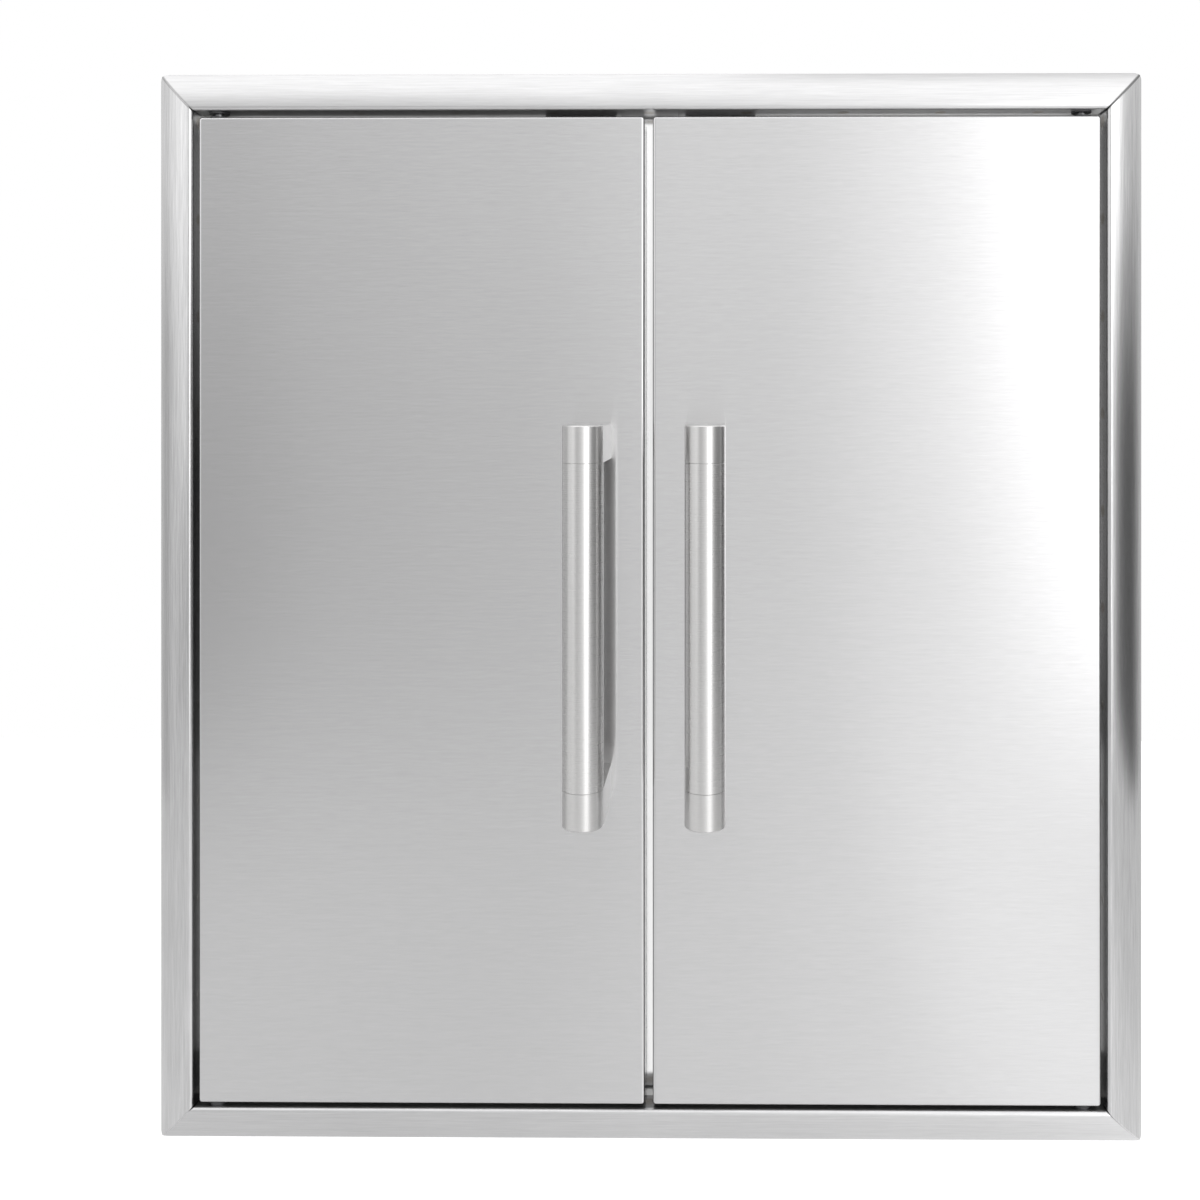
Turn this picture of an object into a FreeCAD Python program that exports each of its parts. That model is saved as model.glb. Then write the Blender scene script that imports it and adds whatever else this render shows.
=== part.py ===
import FreeCAD, Part
import math
import os
from FreeCAD import Vector

# Double access door for an outdoor kitchen island: a raised, mitred trim round a sleeve that slides into
# the island's cut-out, a centre mullion, and two double-skin doors on pivot hinges. All sizes are in mm.
# X runs to the right as seen from the front, Z up, and the front faces -Y. The origin lies at the middle
# of the sleeve's underside, where it crosses the plane of the island's wall (y = 0).

# Raised trim
TRIM_WIDTH = 610.0
TRIM_HEIGHT = 662.0
FACE_WIDTH = 25.0
CREST_RISE = 16.7
TRIM_SHEET = 1.2
CREST_BEND = 2.2
CREST_SLOPE = math.radians(10.0)
EDGE_BEND = 2.0
EDGE_WALL = 1.1
HEM_BEND = 1.6
HEM_FLANGE = 8.0
CORNER_GRIND = 3.5

# Sleeve behind the trim
SLEEVE_SHEET = 1.2
SLEEVE_DEPTH = 57.0
SLEEVE_LAP = 14.0
FIXING_RADIUS = 2.6
FIXING_SETBACK = 38.0
FIXING_END_INSET = 110.0
FIXING_SIDE_INSET = 130.0

# Gaps round the doors
SIDE_GAP = 3.6
TOP_GAP = 4.0
BOTTOM_GAP = 2.8
MEETING_GAP = 5.0

# Doors
DOOR_SETBACK = 1.0
DOOR_THICKNESS = 19.7
DOOR_SHEET = 1.2
DOOR_BEND = 1.8
DOOR_CORNER = 2.0
LINER_SHEET = 1.0
LINER_FOLD = 7.0
LINER_BEND = 1.4

# Bar handles
HANDLE_LENGTH = 229.0
HANDLE_RADIUS = 11.75
HANDLE_STANDOFF = 49.0
HANDLE_EDGE_INSET = 32.5
HANDLE_WALL = 1.5
BRACKET_HEIGHT = 21.25
BRACKET_BASE_WIDTH = 24.4
BRACKET_EDGE = 0.5
SPIGOT_LENGTH = 8.0
SPIGOT_CLEARANCE = 0.05
SEAM_CHAMFER = 0.3
HANDLE_SCREW_RADIUS = 3.0
HANDLE_SCREW_GRIP = 10.0
HANDLE_SCREW_HEAD_RADIUS = 5.0
HANDLE_SCREW_HEAD_HEIGHT = 3.5
BACKING_WIDTH = 36.0
BACKING_HEIGHT = 30.0
BACKING_SHEET = 2.0

# Pivot hinges
PIVOT_INSET = 10.0
PIVOT_SETBACK = 8.0
PIN_RADIUS = 3.0
RUNNING_CLEARANCE = 0.05
BUSH_WALL = 1.0
BUSH_FLANGE_RADIUS = 6.0
BUSH_FLANGE_SHEET = 1.0
BUSH_STAND_OUT = 0.6
STUD_ENGAGEMENT = 6.0
SHOULDER_RADIUS = 6.0
SHOULDER_HEIGHT = 0.8
WASHER_RADIUS = 6.0
WASHER_SHEET = 0.8
STUD_TAIL_RADIUS = 4.0
BRACKET_SHEET = 2.0
BRACKET_DEPTH = 9.4
BRACKET_FRONT_CLEARANCE = 1.2
BRACKET_REACH = 17.0
LOWER_BRACKET_LEG = 24.0

# Spring pin at the top of each door
PIN_PROJECTION = 8.0
PIN_TRAVEL = 8.0
PIN_TIP_CHAMFER = 1.0
PIN_TAIL = 14.0
CARRIER_HEIGHT = 36.0
COLLAR_RADIUS = 5.2
COLLAR_SHEET = 1.5
SPRING_INNER_RADIUS = 3.6
SPRING_OUTER_RADIUS = 4.6
KNOB_BELOW_CARRIER = 7.0
KNOB_SHANK_RADIUS = 2.0
KNOB_RADIUS = 4.0
KNOB_LENGTH = 5.0
KNOB_CHAMFER = 1.0
KNOB_STAND_OFF = 1.0
SLOT_CLEARANCE = 0.6

# Centre mullion
MULLION_WIDTH = 36.0
MULLION_DEPTH = 14.0
MULLION_SHEET = 1.2
MULLION_BEND = 1.5
MULLION_CLEARANCE = 1.6
BUMPER_RADIUS = 4.5
BUMPER_CLEARANCE = 0.3
BUMPER_END_INSET = 60.0

# Magnetic catches
CATCH_WIDTH = 44.0
CATCH_DEPTH = 14.0
CATCH_HEIGHT = 16.5
CATCH_WALL = 1.5
CATCH_SIDE_CLEARANCE = 4.0
CATCH_CLEARANCE = 0.3
POLE_PROJECTION = 0.7
POLE_SHEET = 1.5
MAGNET_WIDTH = 24.0
MAGNET_HEIGHT = 4.5
MAGNET_DEPTH = 9.0
STRIKER_WIDTH = 34.0
STRIKER_HEIGHT = 12.0
STRIKER_SHEET = 1.0
STRIKER_TOP_INSET = 1.0

# Small screws of the catches, and the clearance of every screw in its hole
SCREW_RADIUS = 2.0
SCREW_HEAD_RADIUS = 3.8
SCREW_HEAD_HEIGHT = 2.2
SCREW_CLEARANCE = 0.05

# Clearance of a piece that only lies beside another
SEAT = 0.1
# Margin by which a cutting solid runs past the piece that it cuts
PAST = 1.0

# Places worked out from the sizes above
OPENING_WIDTH = TRIM_WIDTH - 2 * FACE_WIDTH
OPENING_HEIGHT = TRIM_HEIGHT - 2 * FACE_WIDTH
OPENING_BOTTOM = SLEEVE_SHEET + TRIM_SHEET
OPENING_TOP = OPENING_BOTTOM + OPENING_HEIGHT
OPENING_CENTRE = Vector(0, 0, (OPENING_BOTTOM + OPENING_TOP) / 2)
SLEEVE_TOP = OPENING_TOP + TRIM_SHEET + SLEEVE_SHEET
SLEEVE_INSIDE = OPENING_WIDTH / 2 + TRIM_SHEET
SLEEVE_OUTSIDE = SLEEVE_INSIDE + SLEEVE_SHEET

DOOR_LEFT = -OPENING_WIDTH / 2 + SIDE_GAP
DOOR_RIGHT = -MEETING_GAP / 2
DOOR_BOTTOM = OPENING_BOTTOM + BOTTOM_GAP
DOOR_TOP = OPENING_TOP - TOP_GAP
DOOR_FRONT = -CREST_RISE + DOOR_SETBACK
DOOR_BACK = DOOR_FRONT + DOOR_THICKNESS
DOOR_INSIDE = DOOR_FRONT + DOOR_SHEET

PIVOT_X = DOOR_LEFT + PIVOT_INSET
PIVOT_Y = DOOR_FRONT + PIVOT_SETBACK
BORE_RADIUS = PIN_RADIUS + RUNNING_CLEARANCE
BUSH_RADIUS = BORE_RADIUS + BUSH_WALL

HANDLE_X = DOOR_RIGHT - HANDLE_EDGE_INSET
HANDLE_Y = DOOR_FRONT - HANDLE_STANDOFF
HANDLE_BOTTOM = (DOOR_BOTTOM + DOOR_TOP - HANDLE_LENGTH) / 2
HANDLE_TOP = HANDLE_BOTTOM + HANDLE_LENGTH

BRACKET_FRONT = DOOR_INSIDE + BRACKET_FRONT_CLEARANCE
CARRIER_TOP = DOOR_TOP - DOOR_SHEET
CARRIER_BOTTOM = CARRIER_TOP - CARRIER_HEIGHT
COLLAR_TOP = CARRIER_TOP - BRACKET_SHEET - BUSH_STAND_OUT - SEAT
COLLAR_BOTTOM = COLLAR_TOP - COLLAR_SHEET
KNOB_Z = CARRIER_BOTTOM - KNOB_BELOW_CARRIER

MULLION_FRONT = DOOR_BACK + MULLION_CLEARANCE
CATCH_FRONT = DOOR_BACK + STRIKER_SHEET + CATCH_CLEARANCE + POLE_PROJECTION
CATCH_TOP = SLEEVE_TOP - SLEEVE_SHEET
CATCH_BOTTOM = CATCH_TOP - CATCH_HEIGHT
CATCH_X = -(MULLION_WIDTH + CATCH_WIDTH) / 2 - CATCH_SIDE_CLEARANCE
POLE_Z = CATCH_BOTTOM + CATCH_WALL + POLE_SHEET + MAGNET_HEIGHT / 2

UP = Vector(0, 0, 1)
DOWN = Vector(0, 0, -1)
BACKWARD = Vector(0, 1, 0)
FORWARD = Vector(0, -1, 0)


def block(low, high):
    """A box between its lowest and highest corner."""
    size = Vector(*high) - Vector(*low)
    return Part.makeBox(size.x, size.y, size.z, Vector(*low))


def rod(radius, start, direction, length):
    """A round bar from a point, along a direction."""
    return Part.makeCylinder(radius, length, start, direction)


def edges_along(shape, direction):
    """The straight edges of a shape that run along a direction."""
    found = []
    for edge in shape.Edges:
        if edge.Curve.TypeId != "Part::GeomLine":
            continue
        if abs(edge.tangentAt(edge.FirstParameter).dot(direction)) > 0.999:
            found.append(edge)
    return found


def edges_in_plane(shape, y):
    """The edges of a shape that lie in the plane at a depth y."""
    return [e for e in shape.Edges if abs(e.BoundBox.YMin - y) < 1e-4 and abs(e.BoundBox.YMax - y) < 1e-4]


def panel(low, high, bend, face_y):
    """A box whose edges round its one broad face, at the depth face_y, are bent to a radius."""
    shape = block(low, high)
    return shape.makeFillet(bend, edges_in_plane(shape, face_y))


def arc(centre, radius, start, end):
    """An arc in the XY plane between two angles from +X, given in radians."""
    def at(angle):
        return Vector(centre.x + radius * math.cos(angle), centre.y + radius * math.sin(angle), 0)
    return Part.Arc(at(start), at((start + end) / 2), at(end))


def screw(seat, direction, length, radius, head_radius, head_height):
    """A screw whose cylindrical head stands on a seat and whose shank runs along a direction."""
    head = rod(head_radius, seat - direction * head_height, direction, head_height)
    return head.fuse(rod(radius, seat, direction, length)).removeSplitter()


def flanged_bush(seat, direction, length):
    """A bush whose flange lies on a seat and whose body runs through a wall along a direction."""
    flange = rod(BUSH_FLANGE_RADIUS, seat - direction * BUSH_FLANGE_SHEET, direction, BUSH_FLANGE_SHEET)
    body = rod(BUSH_RADIUS, seat, direction, length)
    bore_start = seat - direction * (BUSH_FLANGE_SHEET + PAST)
    bore = rod(BORE_RADIUS, bore_start, direction, length + BUSH_FLANGE_SHEET + 2 * PAST)
    return flange.fuse(body).cut(bore).removeSplitter()


def trim_section():
    """The trim's sheet in section: x is outward from the opening, y is forward of the wall.

    The skin rises along the opening, turns over the crest bend, falls along a crowned face to the outer
    edge, and hems back along the wall. The crowned face is one arc that leaves the crest bend and meets
    the edge bend without a kink, so its radius follows from the two.
    """
    crest = Vector(CREST_BEND, CREST_RISE - CREST_BEND, 0)
    edge = Vector(FACE_WIDTH - EDGE_BEND, HEM_BEND + EDGE_WALL, 0)
    hem = Vector(FACE_WIDTH - HEM_BEND, HEM_BEND, 0)
    leaving = Vector(math.sin(CREST_SLOPE), math.cos(CREST_SLOPE), 0)
    start = crest + leaving * CREST_BEND
    chord = start - edge
    radius = (chord.dot(chord) - EDGE_BEND ** 2) / (2 * (chord.dot(leaving) - EDGE_BEND))
    centre = start - leaving * radius
    meeting = math.atan2(edge.y - centre.y, edge.x - centre.x)
    quarter = math.pi / 2
    curves = [
        Part.LineSegment(Vector(0, 0, 0), Vector(0, crest.y, 0)),
        arc(crest, CREST_BEND, 2 * quarter, quarter - CREST_SLOPE),
        arc(centre, radius, quarter - CREST_SLOPE, meeting),
        arc(edge, EDGE_BEND, meeting, 0),
        Part.LineSegment(Vector(FACE_WIDTH, edge.y, 0), Vector(FACE_WIDTH, hem.y, 0)),
        arc(hem, HEM_BEND, 0, -quarter),
        Part.LineSegment(Vector(hem.x, 0, 0), Vector(hem.x - HEM_FLANGE, 0, 0)),
    ]
    skin = Part.Wire([curve.toShape() for curve in curves])
    section = skin.makeOffset2D(-TRIM_SHEET, 0, True, True, False)
    if section.BoundBox.XMin < -TRIM_SHEET / 2:
        section = skin.makeOffset2D(TRIM_SHEET, 0, True, True, False)
    return section


def trim_member(span, reach, turn):
    """One mitred side of the trim, made below the opening and then turned round the opening's centre.

    span is the opening's length along this side and reach its distance from the centre.
    """
    length = span + 2 * FACE_WIDTH
    bar = trim_section().extrude(Vector(0, 0, length))
    facing = FreeCAD.Rotation(DOWN, FORWARD, Vector(-1, 0, 0), "XYZ")
    bar.Placement = FreeCAD.Placement(Vector(length / 2, 0, -reach), facing)
    over = FACE_WIDTH + PAST
    corners = [
        Vector(-span / 2, 0, -reach),
        Vector(span / 2, 0, -reach),
        Vector(span / 2 + over, 0, -reach - over),
        Vector(-span / 2 - over, 0, -reach - over),
    ]
    outline = Part.Face(Part.makePolygon(corners + corners[:1]))
    outline.translate(Vector(0, -CREST_RISE - PAST, 0))
    bar = bar.common(outline.extrude(Vector(0, CREST_RISE + 2 * PAST, 0)))
    bar.rotate(Vector(0, 0, 0), BACKWARD, turn)
    bar.translate(OPENING_CENTRE)
    low = (-TRIM_WIDTH / 2, -CREST_RISE - PAST, OPENING_BOTTOM - FACE_WIDTH)
    high = (TRIM_WIDTH / 2, PAST, OPENING_TOP + FACE_WIDTH)
    ground = block(low, high)
    ground = ground.makeFillet(CORNER_GRIND, edges_along(ground, BACKWARD))
    return bar.common(ground).Solids[0]


def both_pivots(radius, low, high):
    """Two upright drill holes on the pivot axes between two heights."""
    drills = [rod(radius, Vector(x, PIVOT_Y, low), UP, high - low) for x in (PIVOT_X, -PIVOT_X)]
    return drills[0].fuse(drills[1])


def catch_screw_points():
    """The plan positions of the two screws in the left catch."""
    inset = (CATCH_WIDTH + MAGNET_WIDTH) / 4
    y = CATCH_FRONT + CATCH_DEPTH / 2
    return [Vector(CATCH_X - inset, y, 0), Vector(CATCH_X + inset, y, 0)]


def upright_drills(points, radius, low, high):
    """Upright drill holes at plan positions, between two heights, as one cutting shape."""
    return Part.makeCompound([rod(radius, Vector(p.x, p.y, low), UP, high - low) for p in points])


def trim_pieces():
    """The four mitred trim members, drilled where the hinges pass."""
    half_width = OPENING_WIDTH / 2
    half_height = OPENING_HEIGHT / 2
    top = trim_member(OPENING_WIDTH, half_height, 180)
    top = top.cut(both_pivots(BUSH_RADIUS, OPENING_TOP - PAST, OPENING_TOP + TRIM_SHEET + SEAT))
    bottom = trim_member(OPENING_WIDTH, half_height, 0)
    bottom = bottom.cut(both_pivots(BORE_RADIUS, SLEEVE_SHEET - SEAT, OPENING_BOTTOM + PAST))
    return {
        "trim_top_rail": top,
        "trim_bottom_rail": bottom,
        "trim_left_stile": trim_member(OPENING_HEIGHT, half_width, 90),
        "trim_right_stile": trim_member(OPENING_HEIGHT, half_width, -90),
    }


def sleeve_pieces():
    """The four plates of the sleeve, lapped behind the trim's inner return, with the fixing holes."""
    depth = (-SLEEVE_LAP, SLEEVE_DEPTH)
    sill = block((-SLEEVE_INSIDE, depth[0], 0), (SLEEVE_INSIDE, depth[1], SLEEVE_SHEET))
    head = sill.translated(Vector(0, 0, SLEEVE_TOP - SLEEVE_SHEET))
    jamb = block((-SLEEVE_OUTSIDE, depth[0], 0), (-SLEEVE_INSIDE, depth[1], SLEEVE_TOP))
    for z in (FIXING_END_INSET, SLEEVE_TOP - FIXING_END_INSET):
        start = Vector(-SLEEVE_OUTSIDE - PAST, FIXING_SETBACK, z)
        jamb = jamb.cut(rod(FIXING_RADIUS, start, Vector(1, 0, 0), SLEEVE_SHEET + 2 * PAST))
    across = SLEEVE_INSIDE - FIXING_SIDE_INSET
    fixings = [Vector(-across, FIXING_SETBACK, 0), Vector(across, FIXING_SETBACK, 0)]
    whole = (-PAST, SLEEVE_TOP + PAST)
    sill = sill.cut(upright_drills(fixings, FIXING_RADIUS, *whole))
    countersink = stud_tail(RUNNING_CLEARANCE)
    sill = sill.cut([countersink, countersink.mirror(Vector(0, 0, 0), Vector(1, 0, 0))])
    left = catch_screw_points()
    tapped = left + [Vector(-p.x, p.y, 0) for p in left]
    head = head.cut(upright_drills(fixings, FIXING_RADIUS, *whole))
    head = head.cut(upright_drills(tapped, SCREW_RADIUS + SCREW_CLEARANCE, *whole))
    head = head.cut(both_pivots(BUSH_RADIUS, *whole))
    return {
        "sleeve_sill": sill,
        "sleeve_head": head,
        "sleeve_left_jamb": jamb,
        "sleeve_right_jamb": jamb.mirror(Vector(0, 0, 0), Vector(1, 0, 0)),
    }


def mullion_pieces():
    """The folded centre mullion, welded in by its end tabs, and the bumpers that the doors close on."""
    half = MULLION_WIDTH / 2
    back = MULLION_FRONT + MULLION_DEPTH
    low = SLEEVE_SHEET
    high = SLEEVE_TOP - SLEEVE_SHEET
    outside = block((-half, MULLION_FRONT, low), (half, back, high))
    long_edges = [e for e in edges_along(outside, UP) if abs(e.CenterOfMass.y - MULLION_FRONT) < SEAT]
    outside = outside.makeFillet(MULLION_BEND, long_edges)
    inside = block(
        (-half + MULLION_SHEET, MULLION_FRONT + MULLION_SHEET, low + MULLION_SHEET),
        (half - MULLION_SHEET, back + PAST, high - MULLION_SHEET),
    )
    thickness = MULLION_CLEARANCE - BUMPER_CLEARANCE
    bumper_x = (half - DOOR_RIGHT) / 2
    bumpers = []
    for x in (-bumper_x, bumper_x):
        for z in (DOOR_BOTTOM + BUMPER_END_INSET, DOOR_TOP - BUMPER_END_INSET):
            bumpers.append(rod(BUMPER_RADIUS, Vector(x, MULLION_FRONT, z), FORWARD, thickness))
    return {
        "centre_mullion": outside.cut(inside),
        "door_bumpers": Part.makeCompound(bumpers),
    }


def catch_pieces():
    """The left magnetic catch under the sleeve's head: housing, magnet, pole plates and screws."""
    housing = block(
        (CATCH_X - CATCH_WIDTH / 2, CATCH_FRONT, CATCH_BOTTOM),
        (CATCH_X + CATCH_WIDTH / 2, CATCH_FRONT + CATCH_DEPTH, CATCH_TOP),
    )
    stack = MAGNET_HEIGHT / 2 + POLE_SHEET
    pocket_back = CATCH_FRONT + MAGNET_DEPTH
    side = MAGNET_WIDTH / 2
    pocket = block(
        (CATCH_X - side, CATCH_FRONT - PAST, POLE_Z - stack),
        (CATCH_X + side, pocket_back, POLE_Z + stack),
    )
    bore = SCREW_RADIUS + SCREW_CLEARANCE
    drills = upright_drills(catch_screw_points(), bore, CATCH_BOTTOM - PAST, CATCH_TOP + PAST)
    magnet = block(
        (CATCH_X - side, CATCH_FRONT, POLE_Z - MAGNET_HEIGHT / 2),
        (CATCH_X + side, pocket_back, POLE_Z + MAGNET_HEIGHT / 2),
    )
    plates = []
    for z in (POLE_Z - stack, POLE_Z + MAGNET_HEIGHT / 2):
        low = (CATCH_X - side, CATCH_FRONT - POLE_PROJECTION, z)
        plates.append(block(low, (CATCH_X + side, pocket_back, z + POLE_SHEET)))
    length = CATCH_HEIGHT + SLEEVE_SHEET
    screws = []
    for point in catch_screw_points():
        seat = Vector(point.x, point.y, CATCH_BOTTOM)
        screws.append(screw(seat, UP, length, SCREW_RADIUS, SCREW_HEAD_RADIUS, SCREW_HEAD_HEIGHT))
    return {
        "catch_housings": housing.cut(pocket).cut(drills),
        "catch_magnets": magnet,
        "catch_pole_plates": Part.makeCompound(plates),
        "catch_screws": Part.makeCompound(screws),
    }


def stud_tail(clearance):
    """The swaged tail of the left sill stud: it fills a countersink in the sill and ends flush below it."""
    foot = Vector(PIVOT_X, PIVOT_Y, 0)
    return Part.makeCone(STUD_TAIL_RADIUS + clearance, PIN_RADIUS + clearance, SLEEVE_SHEET, foot, UP)


def frame_hinge_pieces():
    """What the frame holds of the left hinge: the bush in its head, and the stud and washer on its sill."""
    head_bush = flanged_bush(
        Vector(PIVOT_X, PIVOT_Y, OPENING_TOP), UP, TRIM_SHEET + SLEEVE_SHEET + BUSH_STAND_OUT
    )
    stud_top = DOOR_BOTTOM + STUD_ENGAGEMENT
    stud = rod(PIN_RADIUS, Vector(PIVOT_X, PIVOT_Y, 0), UP, stud_top)
    tip = [e for e in stud.Edges if e.Closed and abs(e.CenterOfMass.z - stud_top) < SEAT]
    stud = stud.makeChamfer(PIN_TIP_CHAMFER, tip)
    shoulder_seat = Vector(PIVOT_X, PIVOT_Y, OPENING_BOTTOM)
    shoulder = rod(SHOULDER_RADIUS, shoulder_seat, UP, SHOULDER_HEIGHT)
    stud = stud.fuse([shoulder, stud_tail(0)]).removeSplitter()
    washer_seat = shoulder_seat + UP * SHOULDER_HEIGHT
    washer = rod(WASHER_RADIUS, washer_seat, UP, WASHER_SHEET)
    washer = washer.cut(rod(BORE_RADIUS, washer_seat - UP, UP, WASHER_SHEET + 2 * PAST))
    return {
        "head_bushes": head_bush,
        "sill_studs": stud,
        "thrust_washers": washer,
    }


def door_skin_pieces():
    """The left door's outer pan, its liner and the steel striker that the catch holds."""
    sheet = DOOR_SHEET
    outside = block((DOOR_LEFT, DOOR_FRONT, DOOR_BOTTOM), (DOOR_RIGHT, DOOR_BACK, DOOR_TOP))
    outside = outside.makeFillet(DOOR_CORNER, edges_along(outside, BACKWARD))
    outside = outside.makeFillet(DOOR_BEND, edges_in_plane(outside, DOOR_FRONT))
    cavity = panel(
        (DOOR_LEFT + sheet, DOOR_INSIDE, DOOR_BOTTOM + sheet),
        (DOOR_RIGHT - sheet, DOOR_BACK + PAST, DOOR_TOP - sheet),
        DOOR_BEND - sheet, DOOR_INSIDE,
    )
    pan = outside.cut(cavity)
    for seat_z in (DOOR_BOTTOM, DOOR_TOP - sheet):
        start = Vector(PIVOT_X, PIVOT_Y, seat_z - PAST)
        pan = pan.cut(rod(BUSH_RADIUS, start, UP, sheet + 2 * PAST))
    drills = [
        rod(HANDLE_SCREW_RADIUS + SCREW_CLEARANCE, p - BACKWARD * PAST, BACKWARD, sheet + 2 * PAST)
        for p in handle_screw_points()
    ]
    pan = pan.cut(Part.makeCompound(drills))
    fold_front = DOOR_BACK - LINER_FOLD
    low = (DOOR_LEFT + sheet, fold_front, DOOR_BOTTOM + sheet)
    high = (DOOR_RIGHT - sheet, DOOR_BACK, DOOR_TOP - sheet)
    inner_low = (low[0] + LINER_SHEET, fold_front - PAST, low[2] + LINER_SHEET)
    inner_high = (high[0] - LINER_SHEET, DOOR_BACK - LINER_SHEET, high[2] - LINER_SHEET)
    liner = panel(low, high, LINER_BEND, DOOR_BACK)
    liner = liner.cut(panel(inner_low, inner_high, LINER_BEND - LINER_SHEET, DOOR_BACK - LINER_SHEET))
    reach = KNOB_SHANK_RADIUS + SLOT_CLEARANCE
    ends = [Vector(PIVOT_X, DOOR_BACK - 2 * LINER_SHEET, z) for z in (KNOB_Z, KNOB_Z - PIN_TRAVEL)]
    slot = block(
        (PIVOT_X - reach, ends[1].y, ends[1].z), (PIVOT_X + reach, DOOR_BACK + PAST, ends[0].z)
    )
    for end in ends:
        slot = slot.fuse(rod(reach, end, BACKWARD, 2 * LINER_SHEET + PAST))
    striker_top = DOOR_TOP - sheet - STRIKER_TOP_INSET
    striker = block(
        (CATCH_X - STRIKER_WIDTH / 2, DOOR_BACK, striker_top - STRIKER_HEIGHT),
        (CATCH_X + STRIKER_WIDTH / 2, DOOR_BACK + STRIKER_SHEET, striker_top),
    )
    return {
        "door_pan": pan,
        "door_liner": liner.cut(slot),
        "striker_plate": striker,
    }


def handle_screw_points():
    """Where the two handle screws pass through the left door's front face."""
    heights = (HANDLE_BOTTOM + BRACKET_HEIGHT / 2, HANDLE_TOP - BRACKET_HEIGHT / 2)
    return [Vector(HANDLE_X, DOOR_FRONT, z) for z in heights]


def handle_bracket(bottom, tube_end, tube_direction):
    """A handle bracket: straight sides from a flat base run tangent into a round front.

    A spigot on it fills the end of the tube.
    """
    centre = Vector(HANDLE_X, HANDLE_Y, bottom)
    half = BRACKET_BASE_WIDTH / 2
    distance = math.hypot(half, HANDLE_STANDOFF)
    lean = math.atan2(half, HANDLE_STANDOFF)
    turn = math.acos(HANDLE_RADIUS / distance) + lean - math.pi / 2
    side = Vector(HANDLE_RADIUS * math.cos(turn), -HANDLE_RADIUS * math.sin(turn), 0)
    left = centre + Vector(-side.x, side.y, 0)
    right = centre + Vector(side.x, side.y, 0)
    base_left = Vector(HANDLE_X - half, DOOR_FRONT, bottom)
    base_right = Vector(HANDLE_X + half, DOOR_FRONT, bottom)
    nose = centre + FORWARD * HANDLE_RADIUS
    outline = Part.Wire([
        Part.LineSegment(base_left, left).toShape(),
        Part.Arc(left, nose, right).toShape(),
        Part.LineSegment(right, base_right).toShape(),
        Part.LineSegment(base_right, base_left).toShape(),
    ])
    body = Part.Face(outline).extrude(UP * BRACKET_HEIGHT)
    outer_z = bottom if tube_direction.z > 0 else bottom + BRACKET_HEIGHT
    rim = [
        e for e in body.Edges
        if abs(e.BoundBox.ZMin - outer_z) < SEAT and abs(e.BoundBox.ZMax - outer_z) < SEAT
        and e.BoundBox.YMin < DOOR_FRONT - SEAT
    ]
    body = body.makeChamfer(BRACKET_EDGE, rim)
    spigot_radius = HANDLE_RADIUS - HANDLE_WALL - SPIGOT_CLEARANCE
    spigot_start = Vector(HANDLE_X, HANDLE_Y, tube_end) - tube_direction * PAST
    body = body.fuse(rod(spigot_radius, spigot_start, tube_direction, SPIGOT_LENGTH + PAST))
    for point in handle_screw_points():
        if bottom < point.z < bottom + BRACKET_HEIGHT:
            start = point + BACKWARD * PAST
            depth = HANDLE_SCREW_GRIP + 2 * PAST
            body = body.cut(rod(HANDLE_SCREW_RADIUS + SCREW_CLEARANCE, start, FORWARD, depth))
    return body.removeSplitter()


def handle_pieces():
    """The left bar handle: tube, two brackets, backing plates inside the pan, and screws."""
    tube_bottom = HANDLE_BOTTOM + BRACKET_HEIGHT
    tube_top = HANDLE_TOP - BRACKET_HEIGHT
    start = Vector(HANDLE_X, HANDLE_Y, tube_bottom)
    tube = rod(HANDLE_RADIUS, start, UP, tube_top - tube_bottom)
    tube = tube.makeChamfer(SEAM_CHAMFER, [e for e in tube.Edges if e.Curve.TypeId == "Part::GeomCircle"])
    bore = rod(HANDLE_RADIUS - HANDLE_WALL, start - UP, UP, tube_top - tube_bottom + 2 * PAST)
    plates = []
    screws = []
    for point in handle_screw_points():
        seat = Vector(point.x, DOOR_INSIDE + BACKING_SHEET, point.z)
        drill = rod(HANDLE_SCREW_RADIUS + SCREW_CLEARANCE, seat + BACKWARD, FORWARD, BACKING_SHEET + 2 * PAST)
        plate = block(
            (point.x - BACKING_WIDTH / 2, DOOR_INSIDE, point.z - BACKING_HEIGHT / 2),
            (point.x + BACKING_WIDTH / 2, seat.y, point.z + BACKING_HEIGHT / 2),
        )
        plates.append(plate.cut(drill))
        length = BACKING_SHEET + DOOR_SHEET + HANDLE_SCREW_GRIP
        screws.append(screw(
            seat, FORWARD, length, HANDLE_SCREW_RADIUS, HANDLE_SCREW_HEAD_RADIUS, HANDLE_SCREW_HEAD_HEIGHT
        ))
    return {
        "handle_tube": tube.cut(bore),
        "handle_brackets": Part.makeCompound([
            handle_bracket(HANDLE_BOTTOM, tube_bottom, UP),
            handle_bracket(tube_top, tube_top, DOWN),
        ]),
        "handle_backing_plates": Part.makeCompound(plates),
        "handle_screws": Part.makeCompound(screws),
    }


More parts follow.
